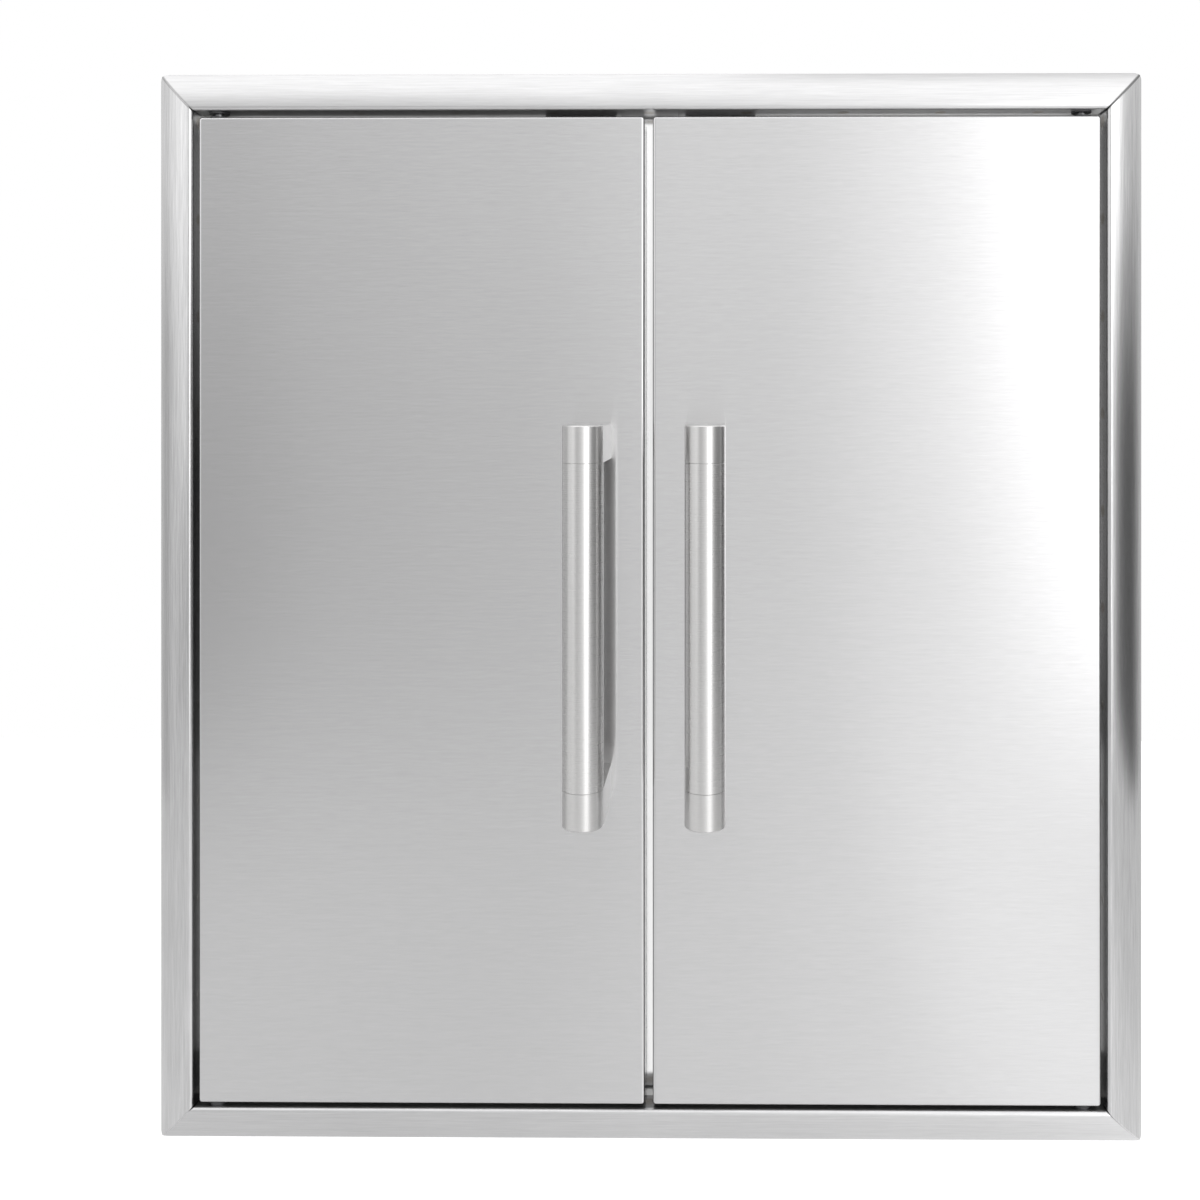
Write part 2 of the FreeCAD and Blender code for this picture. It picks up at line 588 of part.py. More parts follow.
def door_hinge_pieces():
    """What the left door holds of its hinge: the lower bracket and bush, and the spring pin's carrier."""
    wall = DOOR_LEFT + DOOR_SHEET
    back = BRACKET_FRONT + BRACKET_DEPTH
    floor = DOOR_BOTTOM + DOOR_SHEET
    lower = block((wall, BRACKET_FRONT, floor), (wall + BRACKET_REACH, back, floor + BRACKET_SHEET))
    leg = block((wall, BRACKET_FRONT, floor), (wall + BRACKET_SHEET, back, floor + LOWER_BRACKET_LEG))
    lower = lower.fuse(leg)
    lower = lower.cut(rod(BUSH_RADIUS, Vector(PIVOT_X, PIVOT_Y, floor - PAST), UP, BRACKET_SHEET + 2 * PAST))
    lower_bush = flanged_bush(
        Vector(PIVOT_X, PIVOT_Y, DOOR_BOTTOM), UP, DOOR_SHEET + BRACKET_SHEET + BUSH_STAND_OUT
    )
    carrier = block((wall, BRACKET_FRONT, CARRIER_BOTTOM), (wall + BRACKET_REACH, back, CARRIER_TOP))
    window = block(
        (wall + BRACKET_SHEET, BRACKET_FRONT - PAST, CARRIER_BOTTOM + BRACKET_SHEET),
        (wall + BRACKET_REACH + PAST, back + PAST, CARRIER_TOP - BRACKET_SHEET),
    )
    carrier = carrier.cut(window)
    ear = CARRIER_TOP - BRACKET_SHEET - PAST
    carrier = carrier.cut(rod(BUSH_RADIUS, Vector(PIVOT_X, PIVOT_Y, ear), UP, BRACKET_SHEET + 2 * PAST))
    lower_ear = Vector(PIVOT_X, PIVOT_Y, CARRIER_BOTTOM - PAST)
    carrier = carrier.cut(rod(BORE_RADIUS, lower_ear, UP, BRACKET_SHEET + 2 * PAST))
    upper_bush = flanged_bush(
        Vector(PIVOT_X, PIVOT_Y, DOOR_TOP), DOWN, DOOR_SHEET + BRACKET_SHEET + BUSH_STAND_OUT
    )
    return {
        "lower_hinge_bracket": lower.removeSplitter(),
        "pivot_bushes": Part.makeCompound([lower_bush, upper_bush]),
        "pin_carrier": carrier,
    }


def spring_pin_pieces():
    """The pin that holds the top of the left door, with its collar, its release knob and its spring.

    The spring is sealed in the door, so it is the plain sleeve that its coil fills.
    """
    tail = CARRIER_BOTTOM - PIN_TAIL
    tip = DOOR_TOP + PIN_PROJECTION
    pin = rod(PIN_RADIUS, Vector(PIVOT_X, PIVOT_Y, tail), UP, tip - tail)
    rim = [e for e in pin.Edges if e.Closed and e.CenterOfMass.z > tip - SEAT]
    pin = pin.makeChamfer(PIN_TIP_CHAMFER, rim)
    cross_hole = rod(KNOB_SHANK_RADIUS, Vector(PIVOT_X, PIVOT_Y, KNOB_Z), BACKWARD, PIN_RADIUS + PAST)
    collar_seat = Vector(PIVOT_X, PIVOT_Y, COLLAR_BOTTOM)
    collar = rod(COLLAR_RADIUS, collar_seat, UP, COLLAR_SHEET)
    collar = collar.cut(rod(PIN_RADIUS, collar_seat - UP, UP, COLLAR_SHEET + 2 * PAST))
    shank_end = DOOR_BACK + KNOB_STAND_OFF
    knob = rod(KNOB_SHANK_RADIUS, Vector(PIVOT_X, PIVOT_Y, KNOB_Z), BACKWARD, shank_end - PIVOT_Y)
    grip = rod(KNOB_RADIUS, Vector(PIVOT_X, shank_end, KNOB_Z), BACKWARD, KNOB_LENGTH)
    rim = [e for e in grip.Edges if e.Closed and e.CenterOfMass.y > shank_end + SEAT]
    grip = grip.makeChamfer(KNOB_CHAMFER, rim)
    spring_seat = Vector(PIVOT_X, PIVOT_Y, CARRIER_BOTTOM + BRACKET_SHEET)
    spring_length = COLLAR_BOTTOM - spring_seat.z
    spring = rod(SPRING_OUTER_RADIUS, spring_seat, UP, spring_length)
    spring = spring.cut(rod(SPRING_INNER_RADIUS, spring_seat - UP, UP, spring_length + 2 * PAST))
    return {
        "hinge_pin": pin.cut(cross_hole),
        "pin_collar": collar,
        "release_knob": knob.fuse(grip).removeSplitter(),
        "pin_spring": spring,
    }


def main():
    """Builds each left-hand piece and its mirror image on the right.

    What is alike on both sides of the frame shares a node, and each door's pieces have nodes of their own.
    """
    pieces = {**trim_pieces(), **sleeve_pieces(), **mullion_pieces()}
    for name, shape in {**catch_pieces(), **frame_hinge_pieces()}.items():
        pieces[name] = Part.makeCompound([shape, shape.mirror(Vector(0, 0, 0), Vector(1, 0, 0))])
    door = {**door_skin_pieces(), **handle_pieces(), **door_hinge_pieces(), **spring_pin_pieces()}
    for name, shape in door.items():
        pieces["left_" + name] = shape
        pieces["right_" + name] = shape.mirror(Vector(0, 0, 0), Vector(1, 0, 0))
    os.makedirs("parts", exist_ok=True)
    for name, shape in pieces.items():
        shape.exportStep("parts/" + name + ".step")


main()
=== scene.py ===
"""Looks of a double access door for an outdoor kitchen island, dressed round its fixed frame.

Sizes are in metres. X runs to the right as seen from the front, Z up, and the front faces -Y.
"""
import math

import bmesh
import bpy
import numpy as np
from bpy.props import FloatProperty, FloatVectorProperty, IntProperty, PointerProperty
from mathutils import Euler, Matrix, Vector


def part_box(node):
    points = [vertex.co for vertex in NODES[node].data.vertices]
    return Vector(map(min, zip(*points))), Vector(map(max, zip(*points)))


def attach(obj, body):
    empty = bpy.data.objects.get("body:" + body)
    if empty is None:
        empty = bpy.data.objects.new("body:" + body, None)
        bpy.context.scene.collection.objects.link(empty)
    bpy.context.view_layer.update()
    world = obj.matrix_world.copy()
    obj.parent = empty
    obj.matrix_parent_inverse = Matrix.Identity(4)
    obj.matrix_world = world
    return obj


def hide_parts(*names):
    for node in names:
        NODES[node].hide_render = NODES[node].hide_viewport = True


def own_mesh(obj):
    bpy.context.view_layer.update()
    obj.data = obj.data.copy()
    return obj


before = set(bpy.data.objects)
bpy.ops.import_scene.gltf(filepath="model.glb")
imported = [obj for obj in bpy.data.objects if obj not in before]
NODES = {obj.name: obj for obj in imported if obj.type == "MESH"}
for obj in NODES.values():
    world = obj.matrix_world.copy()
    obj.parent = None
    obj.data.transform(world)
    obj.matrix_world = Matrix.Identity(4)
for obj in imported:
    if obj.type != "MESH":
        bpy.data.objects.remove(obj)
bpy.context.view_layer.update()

bl_info = {
    "name": "Island access door dressing",
    "version": (1, 0, 0),
    "blender": (4, 5, 0),
    "location": "View3D > Sidebar > Access Door",
    "description": "Dresses a double access door: brushed steel skins, mitred trim, bar handles and hardware",
    "category": "Object",
}

SIDES = ("left", "right")
PLATED = ("striker_plate", "handle_backing_plates", "handle_screws", "lower_hinge_bracket", "pin_carrier")


def box_centre(node):
    """The middle of a node's box at rest."""
    low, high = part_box(node)
    return (low + high) / 2


SHEET = 0.0012
OPENING_HALF = -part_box("sleeve_sill")[0].x - SHEET
OPENING_LOW = 2 * SHEET
OPENING_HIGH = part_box("sleeve_head")[1].z - 2 * SHEET
OPENING_MIDDLE = (OPENING_LOW + OPENING_HIGH) / 2
OPENING_TALL = (OPENING_HIGH - OPENING_LOW) / 2
PIVOT = box_centre("left_hinge_pin")
SPRING_LOW, SPRING_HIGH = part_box("left_pin_spring")
BUSH_BORE = 0.00405
STUD_BORE = 0.00305
DRILL_SIDES = 48
CREASE = 32.0


# Surfaces


def grid_quads(rows, columns, wrap_rows, wrap_columns):
    """The quads of a grid of points, numbered row by row.

    A wrapped direction joins its last line of points to its first.
    """
    i, j = np.meshgrid(
        np.arange(rows if wrap_rows else rows - 1),
        np.arange(columns if wrap_columns else columns - 1),
        indexing="ij",
    )
    below = (i + 1) % rows
    beside = (j + 1) % columns
    corners = [i * columns + j, i * columns + beside, below * columns + beside, below * columns + j]
    return np.stack(corners, -1).reshape(-1, 4)


def make_piece(name, sheets, crease=CREASE):
    """One object from grids of points, each given as (points, wrap_rows, wrap_columns).

    Lines of points that meet are merged, which closes seams and poles. Each shell's faces are then turned
    outwards, and edges sharper than the crease angle stay sharp.
    """
    points = []
    quads = []
    count = 0
    for grid, wrap_rows, wrap_columns in sheets:
        rows, columns = grid.shape[:2]
        quads.append(grid_quads(rows, columns, wrap_rows, wrap_columns) + count)
        points.append(grid.reshape(-1, 3))
        count += rows * columns
    points = np.concatenate(points)
    quads = np.concatenate(quads)
    mesh = bpy.data.meshes.new(name)
    mesh.vertices.add(len(points))
    mesh.vertices.foreach_set("co", points.astype(np.float32).ravel())
    mesh.loops.add(quads.size)
    mesh.loops.foreach_set("vertex_index", quads.astype(np.int32).ravel())
    mesh.polygons.add(len(quads))
    mesh.polygons.foreach_set("loop_start", np.arange(0, quads.size, 4, dtype=np.int32))
    mesh.update(calc_edges=True)
    shell = bmesh.new()
    shell.from_mesh(mesh)
    bmesh.ops.remove_doubles(shell, verts=shell.verts, dist=1e-6)
    bmesh.ops.recalc_face_normals(shell, faces=shell.faces)
    shell.to_mesh(mesh)
    shell.free()
    mesh.polygons.foreach_set("use_smooth", np.ones(len(mesh.polygons), dtype=bool))
    mesh.set_sharp_from_angle(angle=math.radians(crease))
    piece = bpy.data.objects.new(name, mesh)
    bpy.context.scene.collection.objects.link(piece)
    return piece


def bored(piece, bores):
    """Cuts round holes in a piece; each is an upright drill given as (centre, radius, reach)."""
    drills = []
    for index, (centre, radius, reach) in enumerate(bores):
        profile = [(0, -reach), (radius, -reach), (radius, reach), (0, reach)]
        drill = make_piece(f"drill_{index}", [turned(profile, centre, "z", DRILL_SIDES)])
        cut = piece.modifiers.new(drill.name, "BOOLEAN")
        cut.operation = "DIFFERENCE"
        cut.solver = "EXACT"
        cut.object = drill
        drills.append(drill)
    whole = piece.evaluated_get(bpy.context.evaluated_depsgraph_get())
    piece.data = bpy.data.meshes.new_from_object(whole)
    piece.modifiers.clear()
    piece.data.set_sharp_from_angle(angle=math.radians(CREASE))
    for drill in drills:
        bpy.data.meshes.remove(drill.data)


def dress(piece, finish, body, replaced):
    """Gives a piece its finish and its body, and hides the frame node it stands for."""
    piece.data.materials.clear()
    piece.data.materials.append(finished(finish))
    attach(piece, body)
    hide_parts(replaced)


def turned(profile, centre, axis, sides, wave=None):
    """A surface of revolution.

    Each profile point (radius, height) goes round the axis in a circle, and wave(angle, height) is added to
    the radius. A radius of nothing makes a pole.
    """
    radius, height = np.array(profile, float).T
    angle = np.linspace(0, 2 * math.pi, sides, endpoint=False)
    angle, height = np.meshgrid(angle, height)
    radius = np.repeat(radius[:, None], sides, axis=1)
    if wave is not None:
        radius = radius + wave(angle, height) * (radius > 0)
    across = np.stack([radius * np.cos(angle), radius * np.sin(angle), height], -1)
    if axis == "y":
        across = across[..., [0, 2, 1]]
    return across + np.array(centre, float), False, True


# Finishes


def node(tree, kind, **values):
    """A new shader node; each value goes to the attribute or the input socket of that name."""
    made = tree.nodes.new(kind)
    for name, value in values.items():
        if hasattr(made, name):
            setattr(made, name, value)
        else:
            made.inputs[name.replace("_", " ")].default_value = value
    return made


def math_node(tree, operation, first, second=None, third=None):
    """A Math node on sockets or plain numbers; gives its result."""
    made = node(tree, "ShaderNodeMath", operation=operation)
    for index, value in enumerate((first, second, third)):
        if value is None:
            continue
        if isinstance(value, bpy.types.NodeSocket):
            tree.links.new(value, made.inputs[index])
        else:
            made.inputs[index].default_value = value
    return made.outputs[0]


def map_range(tree, value, low, high, to_low, to_high, smooth=True):
    """A Map Range node, which eases between its ends; gives its result."""
    made = node(tree, "ShaderNodeMapRange", interpolation_type="SMOOTHSTEP" if smooth else "LINEAR")
    tree.links.new(value, made.inputs["Value"])
    for name, number in zip(("From Min", "From Max", "To Min", "To Max"), (low, high, to_low, to_high)):
        made.inputs[name].default_value = number
    return made.outputs["Result"]


def group(name, inputs, outputs):
    """A new shader node group with named sockets, each input with its default."""
    tree = bpy.data.node_groups.new(name, "ShaderNodeTree")
    for label, kind, default in inputs:
        socket = tree.interface.new_socket(label, in_out="INPUT", socket_type=kind)
        if default is not None:
            socket.default_value = default
    for label, kind in outputs:
        tree.interface.new_socket(label, in_out="OUTPUT", socket_type=kind)
    return tree, tree.nodes.new("NodeGroupInput").outputs, tree.nodes.new("NodeGroupOutput").inputs


TONE_SPAN = (0.3, 0.7)


def brush_lines():
    """Lines of a belt-brushed sheet: fine scratches, broader streaks and faint clouds, as tone and height.

    Stretch scales the object's coordinates, so that a small number lies along the brushing.
    """
    tree, source, result = group(
        "brush_lines",
        [("Stretch", "NodeSocketVector", (12.0, 900.0, 2400.0)), ("Streaks", "NodeSocketFloat", 0.4)],
        [("Tone", "NodeSocketFloat"), ("Height", "NodeSocketFloat")],
    )
    place = node(tree, "ShaderNodeTexCoord").outputs["Object"]
    scaled = node(tree, "ShaderNodeVectorMath", operation="MULTIPLY")
    tree.links.new(place, scaled.inputs[0])
    tree.links.new(source["Stretch"], scaled.inputs[1])
    fine = node(tree, "ShaderNodeTexNoise", Scale=1.0, Detail=3.0, Roughness=0.65)
    broad = node(tree, "ShaderNodeTexNoise", Scale=0.4, Detail=2.0, Roughness=0.5)
    clouds = node(tree, "ShaderNodeTexNoise", Scale=9.0, Detail=1.0)
    tree.links.new(scaled.outputs[0], fine.inputs["Vector"])
    tree.links.new(scaled.outputs[0], broad.inputs["Vector"])
    tree.links.new(place, clouds.inputs["Vector"])
    streaked = math_node(tree, "MULTIPLY", broad.outputs["Fac"], source["Streaks"])
    plain = math_node(tree, "SUBTRACT", 1.0, source["Streaks"])
    lines = math_node(tree, "MULTIPLY_ADD", fine.outputs["Fac"], plain, streaked)
    tone = math_node(tree, "MULTIPLY_ADD", clouds.outputs["Fac"], 0.12, lines)
    tree.links.new(math_node(tree, "SUBTRACT", tone, 0.06), result["Tone"])
    tree.links.new(fine.outputs["Fac"], result["Height"])


def join_surface(tree, colour, contrast, tone, dull, height, bump):
    """Joins tone, roughness and height to the shader; the contrast is the colour's swing with the tone."""
    shader = tree.nodes["Principled BSDF"]
    shade = node(tree, "ShaderNodeMix", data_type="RGBA")
    shade.inputs[6].default_value = (*[c * (1 - contrast) for c in colour], 1)
    shade.inputs[7].default_value = (*[min(1, c * (1 + contrast)) for c in colour], 1)
    tree.links.new(tone, shade.inputs[0])
    tree.links.new(shade.outputs[2], shader.inputs["Base Color"])
    tree.links.new(dull, shader.inputs["Roughness"])
    tree.links.new(height, bump.inputs["Height"])
    tree.links.new(bump.outputs["Normal"], shader.inputs["Normal"])


def steel(name, colour, roughness, direction, stretch, contrast, streaks, relief, along):
    """A brushed stainless steel whose grain runs along a direction of the object.

    Contrast is the tone's swing, streaks the share of broad lines, relief the grain's depth in metres and
    along the anisotropy.
    """
    material = bpy.data.materials.new(name)
    material.use_nodes = True
    tree = material.node_tree
    shader = tree.nodes["Principled BSDF"]
    lines = node(tree, "ShaderNodeGroup", node_tree=bpy.data.node_groups["brush_lines"])
    lines.inputs["Stretch"].default_value = stretch
    lines.inputs["Streaks"].default_value = streaks
    tone = lines.outputs["Tone"]
    share = map_range(tree, tone, *TONE_SPAN, 0, 1, False)
    dull = map_range(tree, tone, *TONE_SPAN, roughness * 1.06, roughness * 0.95, False)
    bump = node(tree, "ShaderNodeBump", Strength=0.35, Distance=relief)
    join_surface(tree, colour, contrast, share, dull, lines.outputs["Height"], bump)
    shader.inputs["Metallic"].default_value = 1.0
    shader.inputs["Anisotropic"].default_value = along
    shader.inputs["Anisotropic Rotation"].default_value = 0.25
    if direction is not None:
        grain = node(tree, "ShaderNodeVectorTransform", vector_type="VECTOR")
        grain.convert_from = "OBJECT"
        grain.convert_to = "WORLD"
        grain.inputs[0].default_value = direction
        tree.links.new(grain.outputs[0], shader.inputs["Tangent"])
    return material


def weld_marks():
    """Spot welds in a row: a round dimple with a heat-tinted ring, repeated at a pitch.

    Off is a point's distance from the row and Along its place on it. Along is folded back and forth over half
    the pitch, and the distance to the nearest weld is the root of the sum of both squares.
    """
    tree, source, result = group(
        "weld_marks",
        [("Off", "NodeSocketFloat", 0.0), ("Along", "NodeSocketFloat", 0.0),
         ("Half Pitch", "NodeSocketFloat", 0.03), ("Size", "NodeSocketFloat", 0.0021)],
        [("Dimple", "NodeSocketFloat"), ("Tint", "NodeSocketFloat")],
    )
    folded = math_node(tree, "PINGPONG", source["Along"], source["Half Pitch"])
    squares = math_node(tree, "MULTIPLY_ADD", folded, folded, math_node(tree, "POWER", source["Off"], 2.0))
    away = math_node(tree, "DIVIDE", math_node(tree, "SQRT", squares), source["Size"])
    tree.links.new(map_range(tree, away, 0.8, 1.15, 1, 0), result["Dimple"])
    tree.links.new(map_range(tree, away, 1.0, 2.3, 1, 0), result["Tint"])


def welded(material, rows, within=None):
    """Marks a steel with rows of spot welds, each given by its sockets for a point's distance and place."""
    tree = material.node_tree
    shader = tree.nodes["Principled BSDF"]
    dimples, tints = [], []
    for off, along in rows:
        marks = node(tree, "ShaderNodeGroup", node_tree=bpy.data.node_groups["weld_marks"])
        tree.links.new(off, marks.inputs["Off"])
        tree.links.new(along, marks.inputs["Along"])
        dimples.append(marks.outputs["Dimple"])
        tints.append(marks.outputs["Tint"])
    dimple = dimples[0]
    tint = tints[0]
    for other, ring in zip(dimples[1:], tints[1:]):
        dimple = math_node(tree, "MAXIMUM", dimple, other)
        tint = math_node(tree, "MAXIMUM", tint, ring)
    if within is not None:
        dimple = math_node(tree, "MULTIPLY", dimple, within)
        tint = math_node(tree, "MULTIPLY", tint, within)
    tinted = node(tree, "ShaderNodeMix", data_type="RGBA", blend_type="MULTIPLY")
    tinted.inputs[7].default_value = (0.66, 0.6, 0.52, 1)
    tree.links.new(math_node(tree, "MULTIPLY", tint, 0.7), tinted.inputs[0])
    tree.links.new(shader.inputs["Base Color"].links[0].from_socket, tinted.inputs[6])
    tree.links.new(tinted.outputs[2], shader.inputs["Base Color"])
    pressed = node(tree, "ShaderNodeBump", Strength=0.6, Distance=0.00012, invert=True)
    tree.links.new(dimple, pressed.inputs["Height"])
    tree.links.new(shader.inputs["Normal"].links[0].from_socket, pressed.inputs["Normal"])
    tree.links.new(pressed.outputs["Normal"], shader.inputs["Normal"])


def place_parts(tree, space="Object"):
    """The three coordinates of a point, as sockets."""
    split = node(tree, "ShaderNodeSeparateXYZ")
    tree.links.new(node(tree, "ShaderNodeTexCoord").outputs[space], split.inputs[0])
    return split.outputs


def welded_liner(material):
    """Rows of spot welds along all four edges of a door's liner, where it is joined to the pan."""
    tree = material.node_tree
    x, _, z = place_parts(tree)
    low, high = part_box("right_door_liner")
    inset = 0.007
    across = math_node(tree, "ABSOLUTE", x)
    near = math_node(tree, "ABSOLUTE", math_node(tree, "SUBTRACT", across, low.x + inset))
    far = math_node(tree, "ABSOLUTE", math_node(tree, "SUBTRACT", across, high.x - inset))
    under = math_node(tree, "ABSOLUTE", math_node(tree, "SUBTRACT", z, low.z + inset))
    over = math_node(tree, "ABSOLUTE", math_node(tree, "SUBTRACT", z, high.z - inset))
    upright = (math_node(tree, "MINIMUM", near, far), math_node(tree, "SUBTRACT", z, low.z + inset))
    level = (math_node(tree, "MINIMUM", under, over), math_node(tree, "SUBTRACT", across, low.x + inset))
    welded(material, (upright, level))


# Bands of the painted shade and light on the trim's return, across and into the opening, the band of the
# mitres' dark line (part painted reflection), and the depth of the weld row
RETURN_WALL = (0.0013, 0.0022)
RETURN_DEPTH = (-0.0155, -0.0125)
SEAM_DARK_LINE = (0.0006, 0.0016)
WELD_ROW = -0.0065


def shade_painted_trim(material, lean, reach, painted_factors):
    """Paints shade and light into a trim steel where its sheet turns into the opening, and a dark line along
    the dressed mitres.

    The return's painted tone follows a point's place along the lean, measured from the middle of the opening:
    a factor below one is painted shade in the gap, a factor above one painted light. The mitre line is part
    dark joint, part painted reflection, painted darker towards the top and most at the upper right. The
    distance to a mitre is how much further a point lies beyond the opening sideways than upwards.
    """
    tree = material.node_tree
    shader = tree.nodes["Principled BSDF"]
    brushed = shader.inputs["Base Color"].links[0].from_socket
    middle = node(tree, "ShaderNodeVectorMath", operation="SUBTRACT")
    middle.inputs[1].default_value = (0, 0, OPENING_MIDDLE)
    tree.links.new(node(tree, "ShaderNodeTexCoord").outputs["Object"], middle.inputs[0])
    split = node(tree, "ShaderNodeSeparateXYZ")
    tree.links.new(middle.outputs[0], split.inputs[0])
    x, y, z = split.outputs
    slant = node(tree, "ShaderNodeVectorMath", operation="DOT_PRODUCT")
    slant.inputs[1].default_value = lean
    tree.links.new(middle.outputs[0], slant.inputs[0])
    beside = math_node(tree, "SUBTRACT", math_node(tree, "ABSOLUTE", x), OPENING_HALF)
    above = math_node(tree, "SUBTRACT", math_node(tree, "ABSOLUTE", z), OPENING_TALL)
    wall = map_range(tree, math_node(tree, "MAXIMUM", beside, above), *RETURN_WALL, 1, 0)
    painted_return_share = math_node(tree, "MULTIPLY", wall, map_range(tree, y, *RETURN_DEPTH, 0, 1))
    # Painted shade deeper in the gap, and painted light where the factor is above one, multiplied into the
    # brushed colour
    folded = node(tree, "ShaderNodeMix", data_type="RGBA", blend_type="MULTIPLY")
    tree.links.new(painted_return_share, folded.inputs[0])
    tree.links.new(brushed, folded.inputs[6])
    tree.links.new(map_range(tree, slant.outputs["Value"], *reach, *painted_factors), folded.inputs[7])
    # A dark line along each mitre: part dark joint, part painted reflection, painted stronger towards the top
    # and most at the upper right
    off = math_node(tree, "ABSOLUTE", math_node(tree, "SUBTRACT", beside, above))
    seam = map_range(tree, off, *SEAM_DARK_LINE, 1, 0)
    corner = map_range(tree, math_node(tree, "MULTIPLY_ADD", x, 0.35, z), 0.0, 0.42, 0.04, 0.8)
    dressed = node(tree, "ShaderNodeMix", data_type="RGBA")
    dressed.inputs[7].default_value = (0.1, 0.1, 0.1, 1)
    tree.links.new(math_node(tree, "MULTIPLY", seam, corner), dressed.inputs[0])
    tree.links.new(folded.outputs[2], dressed.inputs[6])
    tree.links.new(dressed.outputs[2], shader.inputs["Base Color"])
    row = math_node(tree, "SUBTRACT", y, WELD_ROW)
    welded(material, [(row, x if lean[0] == 1 else z)], wall)


def plain_finish(name, colour, roughness, metallic=0.0, scale=400.0, contrast=0.12, relief=0.00003):
    """A moulded or plated finish with a fine mottle in its colour, roughness and height."""
    material = bpy.data.materials.new(name)
    material.use_nodes = True
    tree = material.node_tree
    shader = tree.nodes["Principled BSDF"]
    place = node(tree, "ShaderNodeTexCoord").outputs["Object"]
    mottle = node(tree, "ShaderNodeTexNoise", Scale=scale, Detail=4.0, Roughness=0.6)
    tree.links.new(place, mottle.inputs["Vector"])
    tone = mottle.outputs["Fac"]
    dull = map_range(tree, tone, *TONE_SPAN, roughness * 0.9, roughness * 1.1)
    bump = node(tree, "ShaderNodeBump", Strength=0.4, Distance=relief)
    join_surface(tree, colour, contrast, tone, dull, tone, bump)
    shader.inputs["Metallic"].default_value = metallic


def finished(name):
    """A material made earlier, by its name."""
    return bpy.data.materials[name]


def finish_nodes(finish, *names):
    """Gives the named frame nodes one finish."""
    for name in names:
        mesh = NODES[name].data
        mesh.materials.clear()
        mesh.materials.append(finished(finish))


# Properties


class AccessDoorFinish(bpy.types.PropertyGroup):
    """Colours and grain of the steel."""
    sheet_colour: FloatVectorProperty(
        name="Sheet colour", description="Base colour of the brushed skins", default=(0.622, 0.62, 0.624),
        size=3, min=0, max=1, subtype="COLOR",
    )
    handle_colour: FloatVectorProperty(
        name="Handle colour", description="Base colour of the turned handles", default=(0.66, 0.655, 0.65),
        size=3, min=0, max=1, subtype="COLOR",
    )
    door_roughness: FloatProperty(
        name="Door roughness", description="Roughness of the doors' brushed faces", default=0.17,
        min=0.05, max=1,
    )
    trim_roughness: FloatProperty(
        name="Trim roughness", description="Roughness of the trim's brushed faces", default=0.3,
        min=0.05, max=1,
    )


class AccessDoorTrim(bpy.types.PropertyGroup):
    """Section of the trim's folded sheet."""
    face_width: FloatProperty(
        name="Face width", description="From the opening to the outer edge",
        default=-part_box("trim_left_stile")[0].x - OPENING_HALF, unit="LENGTH",
    )
    crest_rise: FloatProperty(
        name="Crest rise", description="Height of the crest above the wall",
        default=-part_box("trim_bottom_rail")[0].y, unit="LENGTH",
    )
    sheet: FloatProperty(name="Sheet", description="Thickness of the sheet", default=SHEET, unit="LENGTH")
    crest_bend: FloatProperty(
        name="Crest bend", description="Outer radius of the bend at the opening", default=0.0022,
        unit="LENGTH",
    )
    crest_slope: FloatProperty(
        name="Crest slope", description="Slope at which the crown leaves the crest", default=math.radians(10),
        subtype="ANGLE",
    )
    edge_bend: FloatProperty(
        name="Edge bend", description="Outer radius of the bend at the outer edge", default=0.002,
        unit="LENGTH",
    )
    edge_wall: FloatProperty(
        name="Edge wall", description="Straight height of the outer edge", default=0.0011, unit="LENGTH",
    )
    hem_bend: FloatProperty(
        name="Hem bend", description="Outer radius of the bend at the wall", default=0.0016, unit="LENGTH",
    )
    hem_flange: FloatProperty(
        name="Hem flange", description="Width of the flange on the wall", default=0.008, unit="LENGTH",
    )
    corner_grind: FloatProperty(
        name="Corner grind", description="Radius ground on the outer corners", default=0.005, unit="LENGTH",
    )
    seam_width: FloatProperty(
        name="Seam width", description="Half the width of the dressed weld seam", default=0.0009,
        unit="LENGTH",
    )
    seam_depth: FloatProperty(
        name="Seam depth", description="Depth of the dressed weld seam", default=0.0003, unit="LENGTH",
    )


class AccessDoorHardware(bpy.types.PropertyGroup):
    """Sizes of the small hardware."""
    spring_wire: FloatProperty(
        name="Spring wire", description="Diameter of the pin spring's wire", default=0.001,
        min=0.0004, max=0.0014, unit="LENGTH",
    )
    spring_turns: IntProperty(
        name="Spring turns", description="Turns of the pin spring's coil", default=10, min=4, max=16,
    )
    knurl_ridges: IntProperty(
        name="Knurl ridges", description="Ridges round the release knob's grip", default=22, min=8, max=48,
    )


class AccessDoorStage(bpy.types.PropertyGroup):
    """Camera, floor and light."""
    camera_place: FloatVectorProperty(
        name="Camera place", description="Where the camera stands", default=(0.0405, -0.7649, 0.4391),
        size=3, subtype="TRANSLATION",
    )
    camera_turn: FloatProperty(
        name="Camera turn", description="Turn of the camera about the upright axis",
        default=math.radians(0.458), subtype="ANGLE",
    )
    lens: FloatProperty(
        name="Lens", description="Focal length on a sensor 36 mm wide", default=36.75, min=10, max=200,
    )
    floor_level: FloatProperty(
        name="Floor level", description="Height of the floor", default=-0.45, unit="LENGTH",
    )


# Pieces


